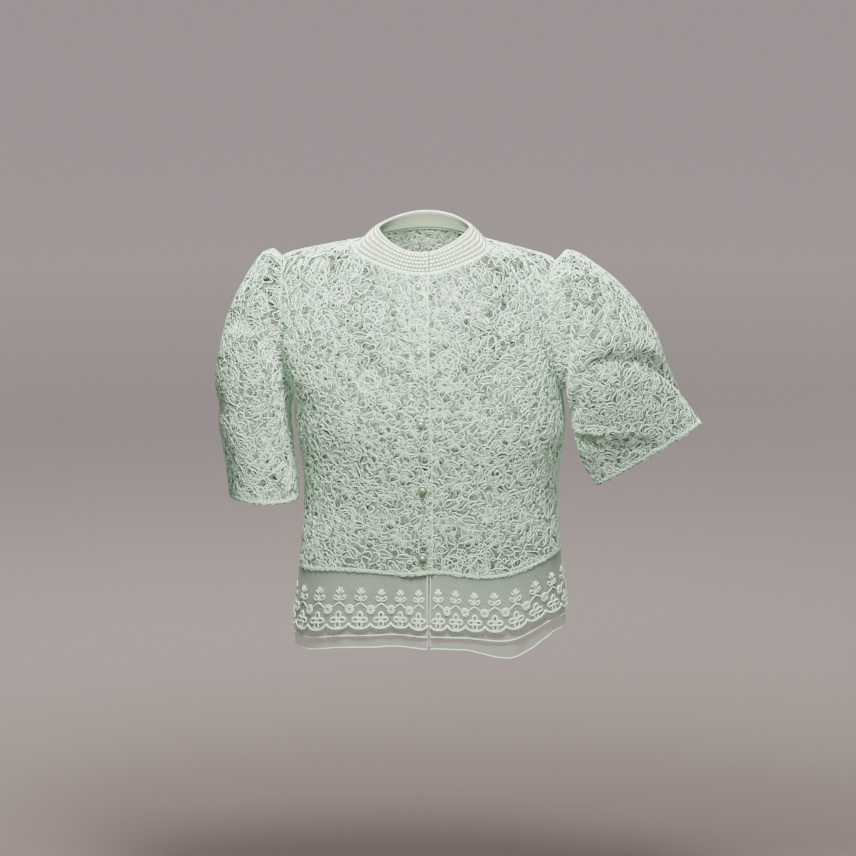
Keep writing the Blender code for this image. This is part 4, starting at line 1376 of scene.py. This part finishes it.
def cut_cloth(layer, scallops, pitch):
    """Cut a scalloped strip of cloth with its eyelets left out."""
    edge = np.arange(scallops * 10 + 1) / 10 * pitch
    top = np.stack([edge, np.zeros_like(edge)], axis=1)[::-1]
    loops = [np.concatenate([top, scalloped(layer, edge, pitch)])]
    holes = []
    for scallop in range(scallops):
        for across, up, turn in EYELETS:
            middle = ((scallop + 0.5) * pitch + across, layer.length - up)
            loops.append(oval(middle, EYELET_LENGTH, EYELET_WIDTH, turn, 10))
            holes.append(middle)
    holes = np.array(holes)
    x, y = np.meshgrid(np.arange(1.8, layer.width - 1.0, 3.6), np.arange(3.6, layer.length - 3.0, 3.6))
    loose = np.stack([x.ravel(), y.ravel()], axis=1)
    below = layer.length - scallop_drop(loose[:, 0] / pitch) - 1.4
    gap = np.linalg.norm(loose[:, None] - holes[None], axis=2).min(axis=1)
    loose = loose[(loose[:, 1] < below) & (gap > 3.6)]
    points, edges = [loose], []
    first = len(loose)
    for line in loops:
        edges.extend((first + step, first + (step + 1) % len(line)) for step in range(len(line)))
        points.append(line)
        first += len(line)
    found = delaunay_2d_cdt([Vector(point) for point in np.concatenate(points).tolist()], edges, [], 1, 1e-5)
    flat = np.array([tuple(point) for point in found[0]])
    faces = np.array([face for face in found[2] if len(face) == 3])
    middle = flat[faces].mean(axis=1)
    in_hole = np.linalg.norm(middle[:, None] - holes[None], axis=2).min(axis=1) < EYELET_WIDTH / 2 * 0.95
    outside = middle[:, 1] > layer.length - scallop_drop(middle[:, 0] / pitch) * 0.99
    faces = faces[~in_hole & ~outside]
    a, b, c = (flat[faces[:, corner]] for corner in range(3))
    turned = (b[:, 0] - a[:, 0]) * (c[:, 1] - a[:, 1]) - (b[:, 1] - a[:, 1]) * (c[:, 0] - a[:, 0]) > 0
    faces[turned] = faces[turned][:, ::-1]
    return flat, faces


# Embroidery threads: width, height and shade tone; a tone below 1 is painted shade
EDGE_CORD = (3.0, 1.0, 1.0)
EYELET_RIM = (2.7, 1.2, 1.0)
STEM = (1.9, 0.9, 1.0)
SIDE_LEAF = (1.9, 1.0, 1.0)
STROKE = (2.0, 1.0, 1.0)
SPOKE = (1.1, 0.6, 0.9)
SIDE_SEAM = (1.5, 0.6, 0.8)
# Rings of a rosette. Columns: radius, thread, number of points round it
ROSETTE_RINGS = [(4.9, (2.6, 1.2, 1.0), 14), (2.6, (2.2, 1.1, 1.0), 9)]
# Strokes of a sprig. Columns: lean to the side, height above the lowest edge
SPRIG_STROKES = [(-5.2, 49.0), (-1.9, 52.5), (1.9, 52.5), (5.2, 49.0)]


def embroider(layer, stitching, scallops, pitch):
    """Sew the scalloped edge, eyelet rims, rosettes, stems and sprigs of the top layer."""
    length = layer.length
    edge = np.arange(scallops * 10 + 1) / 10 * pitch
    layer.sew(stitching, scalloped(layer, edge, pitch, 1.2), EDGE_CORD, section=FLAT_BAND)
    for scallop in range(scallops):
        centre = (scallop + 0.5) * pitch
        for across, up, turn in EYELETS:
            path = oval((centre + across, length - up), 8.2, 5.9, turn, 12)
            layer.sew(stitching, path, EYELET_RIM, closed=True)
        rise = np.linspace(-1.0, 1.0, 9)
        garland = length - 33.5 + 6.0 * np.abs(rise) ** 1.3
        layer.sew(stitching, np.stack([centre + rise * (pitch / 2 - 5.0), garland], axis=1), STEM)
        layer.sew(stitching, [(centre, length - up) for up in (33.5, 37.0, 41.0, 45.0)], STEM)
        for side in (-1.0, 1.0):
            path = oval((centre + side * 4.6, length - 39.5), 7.4, 4.4, side * -38.0, 9)
            layer.sew(stitching, path, SIDE_LEAF, closed=True)
        for lean, reach in SPRIG_STROKES:
            shares = (0.12, 0.55, 1.0)
            path = [(centre + lean * share, length - 43.0 - (reach - 43.0) * share) for share in shares]
            layer.sew(stitching, path, STROKE)
    for junction in range(1, scallops):
        middle = (junction * pitch, length - 25.5)
        for radius, kind, count in ROSETTE_RINGS:
            layer.sew(stitching, oval(middle, 2 * radius, 2 * radius, 0.0, count), kind, closed=True)
        for spoke in range(8):
            turn = 45.0 * spoke + 10.0
            path = [(middle[0] + r * cos_of(turn), middle[1] + r * sin_of(turn)) for r in (2.6, 5.0)]
            layer.sew(stitching, path, SPOKE)


def make_top_layer(organza, thread):
    """Make the three pieces of the embroidered top layer."""
    start, end = peplum_ends()
    total = sum(SCALLOPS.values())
    angles = np.linspace(start, end, 121)
    steps = np.diff(peplum(angles, 45.0, 0.0), axis=0)
    pitch = np.linalg.norm(steps, axis=1).sum() / total
    half_gap = math.degrees(SEAM_GAP / 2 / HIP_REACH)
    for name, low, high in (
        ("front_left", start, 90.0 - half_gap), ("back", 90.0 + half_gap, 270.0 - half_gap),
        ("front_right", 270.0 + half_gap, end),
    ):
        scallops = SCALLOPS[name]
        layer = Layer(low, high, scallops * pitch, PEPLUM_TOP_LENGTH, 0.0, 0.0)
        flat, faces = cut_cloth(layer, scallops, pitch)
        points = layer.points(flat[:, 0], flat[:, 1])
        sheet = cloth_sheet("peplum_" + name + "_organza", points, organza, faces, flat)
        stitching = Stitching()
        embroider(layer, stitching, scallops, pitch)
        for across in (0.9, layer.width - 0.9):
            down = np.linspace(1.0, layer.length - 7.0, 12)
            layer.sew(stitching, np.stack([np.full(12, across), down], axis=1), SIDE_SEAM)
        sewing = stitching.make("peplum_" + name + "_embroidery", thread)
        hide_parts("peplum_" + name)
        layer.width * MM


def make_plain_layers(organza, thread):
    """Make the two plain organza layers with their narrow rolled hems."""
    start, end = peplum_ends()
    for name, below, flutter in (("middle", "peplum_lower_organza", 0.5), ("lower", None, 1.1)):
        length, inside, further = PEPLUM_LAYERS[name]
        steps = np.diff(peplum(np.linspace(start, end, 121), 45.0, inside), axis=0)
        width = float(np.linalg.norm(steps, axis=1).sum())
        layer = Layer(start, end, width, length, inside, further, flutter)
        across, down = np.meshgrid(np.linspace(0.0, width, 321), np.linspace(0.0, length, 17))
        flat = np.stack([across, down], axis=-1)
        sheet = cloth_sheet("peplum_" + name + "_organza", layer.points(across, down), organza, None, flat)
        stitching = Stitching()
        along = np.linspace(0.5, width - 0.5, 330)
        edges = [(np.stack([along, np.full(330, length - 0.6)], axis=1), (1.7, 0.8, 1.0))]
        for side in (0.7, width - 0.7):
            down = np.linspace(1.0, length - 1.0, 26)
            edges.append((np.stack([np.full(26, side), down], axis=1), (1.4, 0.7, 0.9)))
        for path, kind in edges:
            layer.sew(stitching, path, kind, section=ROUND_CORD, base=0.0)
        hem = stitching.make("peplum_" + name + "_hem", thread)
        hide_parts("peplum_" + name)


# Small pearls: radius, step, place in or out of the band's outer form, and their rows as
# shares of its height
BEAD_RADIUS = 2.15
BEAD_STEP = 4.42
BEAD_SEAT = -0.9
BEAD_ROWS = [0.13, 0.315, 0.5, 0.685, 0.87]


def band_frame(angle, share, out):
    """Give points on the neckband and its outward directions."""
    centre = band(angle, share, np.asarray(out, dtype=float)[..., None])
    over = band(angle + 0.3, share) - band(angle - 0.3, share)
    up = band(angle, share + 0.02) - band(angle, share - 0.02)
    return centre, unit(np.cross(over, up))


def join_copies(name, source, places, turns, material):
    """Make one mesh of many copies of a small mesh."""
    points = np.array([tuple(v.co) for v in source.vertices])
    faces = np.array([tuple(p.vertices) for p in source.polygons])
    copies = (points[None] @ turns + places[:, None]).reshape(-1, 3)
    offsets = np.arange(len(places))[:, None, None] * len(points)
    mesh = bpy.data.meshes.new(name)
    mesh.from_pydata(copies.tolist(), [], (faces[None] + offsets).reshape(-1, faces.shape[1]).tolist())
    mesh.materials.append(material)
    mesh.shade_smooth()
    item = add_object(name, mesh)
    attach(item, "root")
    return item


def make_ribbon(first, last, material):
    """Make the neckband's ribbon as a thin closed strip, and give its flat size."""
    angle = np.linspace(first, last, 181)
    shares = np.linspace(0.0, 1.0, 7)
    profile = [(-1.9, share) for share in shares] + [(-2.9, share) for share in shares[::-1]]
    rows = np.array([band(angle, share, out) for out, share in profile])[:, ::-1]
    steps = distances(rows[3])
    height = float(np.linalg.norm(rows[6, 90] - rows[0, 90]))
    tall = np.array([height * share for out, share in profile])
    flat = np.stack(np.meshgrid(steps, tall), axis=-1)
    number = np.arange(rows[..., 0].size).reshape(rows.shape[:2])
    below = np.roll(number, -1, axis=0)
    around = np.stack([number[:, :-1], below[:, :-1], below[:, 1:], number[:, 1:]], axis=-1).reshape(-1, 4)
    ends = []
    for row in range(6):
        ends.append([number[row, 0], number[13 - row, 0], number[12 - row, 0], number[row + 1, 0]])
        ends.append([number[row, -1], number[row + 1, -1], number[12 - row, -1], number[13 - row, -1]])
    faces = np.concatenate([around, ends])
    strip = cloth_sheet("neckband_ribbon", rows.reshape(-1, 3), material, faces, flat)
    return strip, (float(steps[-1]) * MM, height * MM)


def make_pearls(first, last, material):
    """Make the rows of small pearls, each pearl turned its own way."""
    bpy.ops.object.select_all(action="DESELECT")
    bpy.ops.mesh.primitive_ico_sphere_add(subdivisions=2, radius=BEAD_RADIUS * MM, location=(0.0, 0.0, 0.0))
    bead = bpy.context.object
    random = np.random.default_rng(31)
    places = []
    for number, share in enumerate(BEAD_ROWS):
        fine = np.linspace(first, last, 721)
        reach = distances(band(fine, share, BEAD_SEAT))
        count = int((reach[-1] - BEAD_RADIUS * 2) / BEAD_STEP)
        along = np.linspace(BEAD_RADIUS + 0.1, reach[-1] - BEAD_RADIUS - 0.1, count + 1)
        along[1:-1] += random.uniform(-0.08, 0.08, size=count - 1) + (number % 2 - 0.5) * BEAD_STEP * 0.4
        places.append(band(np.interp(along, reach, fine), share, BEAD_SEAT))
    places = np.concatenate(places) * MM
    spin = random.uniform(0.0, 2 * math.pi, size=len(places))
    turns = np.zeros((len(places), 3, 3))
    turns[:, 0, 0], turns[:, 0, 1] = np.cos(spin), np.sin(spin)
    turns[:, 1, 0], turns[:, 1, 1] = -np.sin(spin), np.cos(spin)
    turns[:, 2, 2] = 1.0
    beads = join_copies("neckband_pearls", bead.data, places, turns, material)
    bpy.data.objects.remove(bead)
    return beads


def make_neckband(ribbon, pearl, thread):
    """Make the neckband: a ribbon between two pipings, with five rows of pearls."""
    reach = math.degrees(math.atan2(OVER_REACH, NECK_REACH))
    first, last = reach + BAND_END_GAP, 360.0 + reach - BAND_END_GAP
    strip, size = make_ribbon(first, last, ribbon)
    beads = make_pearls(first, last, pearl)
    piping = Stitching()
    for share, width in ((-0.005, 2.5), (1.0, 2.7)):
        centre, normal = band_frame(np.linspace(first, last, 200), share, -1.6)
        piping.line(centre, normal, width, width * 0.52, 0.5, section=ROUND_CORD, base=0.0)
    edges = piping.make("neckband_pipings", thread)
    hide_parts("neckband")


def make_buttons(pearl, setting, base_shade):
    """Make each button: a pearl in a ring on a flat base. The base is coloured near black: painted shade in
    the gap between pearl and ring.
    """
    for number, height in enumerate(BUTTON_HEIGHTS):
        normal = body_normal(0.0, height)
        seat = body(0.0, height) + normal * (front_lift(0.0, height) + SEAM_GAP)
        pieces = []
        bpy.ops.object.select_all(action="DESELECT")
        bpy.ops.mesh.primitive_uv_sphere_add(segments=28, ring_count=16, radius=4.35 * MM,
                                             location=(0, 0, 1.75 * MM))
        pieces.append((bpy.context.object, pearl))
        bpy.ops.mesh.primitive_torus_add(major_segments=32, minor_segments=10, major_radius=5.75 * MM,
                                         minor_radius=0.75 * MM, location=(0, 0, 1.0 * MM))
        pieces.append((bpy.context.object, setting))
        bpy.ops.mesh.primitive_cylinder_add(vertices=32, radius=5.3 * MM, depth=1.0 * MM,
                                            location=(0, 0, 0.5 * MM))
        pieces.append((bpy.context.object, base_shade))
        facing = Vector(normal).to_track_quat("Z", "Y").to_matrix().to_4x4()
        for part, (item, material) in enumerate(pieces):
            item.data.transform(Matrix.Translation(Vector(seat) * MM) @ facing @ item.matrix_world)
            item.matrix_world = Matrix.Identity(4)
            item.data.materials.append(material)
            item.data.shade_smooth()
            item.name = "button_%d_%s" % (number + 1, ("pearl", "ring", "base")[part])
            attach(item, "root")
        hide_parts("button_%d" % (number + 1))


# Bands along the edges of the lace pieces. Columns: side, width, height, shade tone. The low tones are
# painted shade: seams read as dark grooves, flat bands as lying below the cords
SEAM = (1.4, 0.6, 0.45)
NECK_EDGE = ("top", 3.2, 0.4, 0.5)
BODICE_HEM = ("hem", 6.0, 0.4, 0.3)
FRONT_BORDERS = [NECK_EDGE, BODICE_HEM, ("first", 1.6, 0.5, 0.7), ("last", *SEAM)]
SLEEVE_BORDERS = [("top", *SEAM), ("hem", 6.5, 0.4, 0.3), ("first", *SEAM), ("last", *SEAM)]
LACE_BORDERS = {
    "front_right": FRONT_BORDERS,
    "front_left": FRONT_BORDERS,
    "back": [NECK_EDGE, BODICE_HEM, ("first", *SEAM), ("last", *SEAM)],
    "sleeve_right": SLEEVE_BORDERS,
    "sleeve_left": SLEEVE_BORDERS,
}


def lace_patterns():
    """Make the worn surface and flat cut of each lace piece."""
    patterns = {}
    for name, side, near, lifted in (
        ("front_right", "right", -OVER_REACH, True), ("front_left", "left", -UNDER_REACH, False),
    ):
        angles, heights = front_grid(side, near)
        patterns[name] = Pattern(panel_points(angles, heights, lifted), body_normal(angles, heights))
    angles, heights = back_grid()
    patterns["back"] = Pattern(panel_points(angles, heights, False), body_normal(angles, heights))
    for side in ("right", "left"):
        points = sleeve_grid(side)
        patterns["sleeve_" + side] = Pattern(points, grid_normals(points, SIDE_SIGN[side]))
    return patterns


def make_lace(material):
    """Make the lace pieces, their raised threads and their ground."""
    motifs = draw_motifs()
    for seed, (name, pattern) in enumerate(lace_patterns().items()):
        threads = Stitching()
        ground = Stitching() if name == "back" else threads
        add_lace(pattern, motifs, seed + 1, threads, ground)
        add_borders(pattern, ground, LACE_BORDERS[name])
        cords = threads.make(name + "_lace", material)
        if name == "back":
            ground.make(name + "_ground", material)
        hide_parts(name)
        size = (pattern.high - pattern.low) * MM
        under = "front_left_lace" if name == "front_right" else "neckband_ribbon"
        pattern.area()


def add_light(name, place, aim, size, power, colour):
    """Add a soft square light that looks at a point."""
    data = bpy.data.lights.new(name, "AREA")
    data.size = size
    data.energy = power
    data.color = colour
    light = add_object(name, data)
    light.location = place
    light.rotation_euler = (Vector(place) - Vector(aim)).to_track_quat("Z", "Y").to_euler()


def add_stage():
    """Add a floor, pale far off but with painted shade near the middle, and soft studio light."""
    bpy.ops.object.select_all(action="DESELECT")
    bpy.ops.mesh.primitive_plane_add(size=400.0, location=(0.0, 0.0, -0.95))
    floor = bpy.context.object
    floor.name = "floor"
    floor.data.materials.append(backdrop_material())
    world = bpy.data.worlds.new("studio")
    world.use_nodes = True
    world.node_tree.nodes["Background"].inputs["Color"].default_value = (0.95, 0.97, 1.0, 1.0)
    world.node_tree.nodes["Background"].inputs["Strength"].default_value = 0.4
    bpy.context.scene.world = world
    add_light("key", (0.15, -0.85, 1.55), (0.0, 0.0, -0.1), 0.35, 52.0, (1.0, 1.0, 0.94))
    add_light("near", (0.0, -0.5, 0.42), (0.0, 0.0, -0.06), 0.2, 25.0, (0.97, 1.0, 0.95))
    add_light("side", (1.5, -1.1, 0.2), (0.1, 0.0, -0.2), 0.6, 8.0, (1.0, 1.0, 0.96))
    add_light("behind", (-0.5, 1.6, 1.3), (0.0, 0.0, -0.2), 1.0, 50.0, (1.0, 1.0, 0.96))


def add_camera():
    """Look at the blouse from a little to its left and a little above."""
    data = bpy.data.cameras.new("camera")
    data.sensor_width = SENSOR_WIDTH
    data.lens = SENSOR_WIDTH * CAMERA_DISTANCE / FRAME_WIDTH
    data.clip_end = 500.0
    camera = add_object("camera", data)
    azimuth = math.radians(CAMERA_AZIMUTH)
    elevation = math.radians(CAMERA_ELEVATION)
    back = Vector((
        math.sin(azimuth) * math.cos(elevation),
        -math.cos(azimuth) * math.cos(elevation),
        math.sin(elevation),
    ))
    camera.location = Vector(CAMERA_AIM) + back * CAMERA_DISTANCE
    camera.rotation_euler = back.to_track_quat("Z", "Y").to_euler()
    bpy.context.scene.camera = camera


def main():
    """Make every piece, then the stage and the camera."""
    # The dark colours of the lace and embroidery are painted shade for their low threads.
    lace = thread_material("lace", (0.08, 0.11, 0.075), (0.66, 0.94, 0.70), 0.15)
    embroidery = thread_material("embroidery", (0.36, 0.50, 0.36), (0.74, 0.96, 0.75), 0.2)
    organza = organza_material()
    make_plain_layers(organza, embroidery)
    make_top_layer(organza, embroidery)
    make_lace(lace)
    pearl = pearl_material("small_pearls", (0.62, 0.70, 0.50), (0.84, 0.92, 0.74))
    make_neckband(ribbon_material(), pearl, embroidery)
    # The button pearls are coloured far darker than the small pearls: painted shade on their bodies.
    make_buttons(pearl_material("button_pearls", (0.22, 0.26, 0.17), (0.38, 0.43, 0.31)),
                 pearl_material("button_rings", (0.36, 0.42, 0.30), (0.56, 0.63, 0.49)),
                 pearl_material("button_bases", (0.04, 0.05, 0.03), (0.10, 0.12, 0.08)))
    add_stage()
    add_camera()


main()
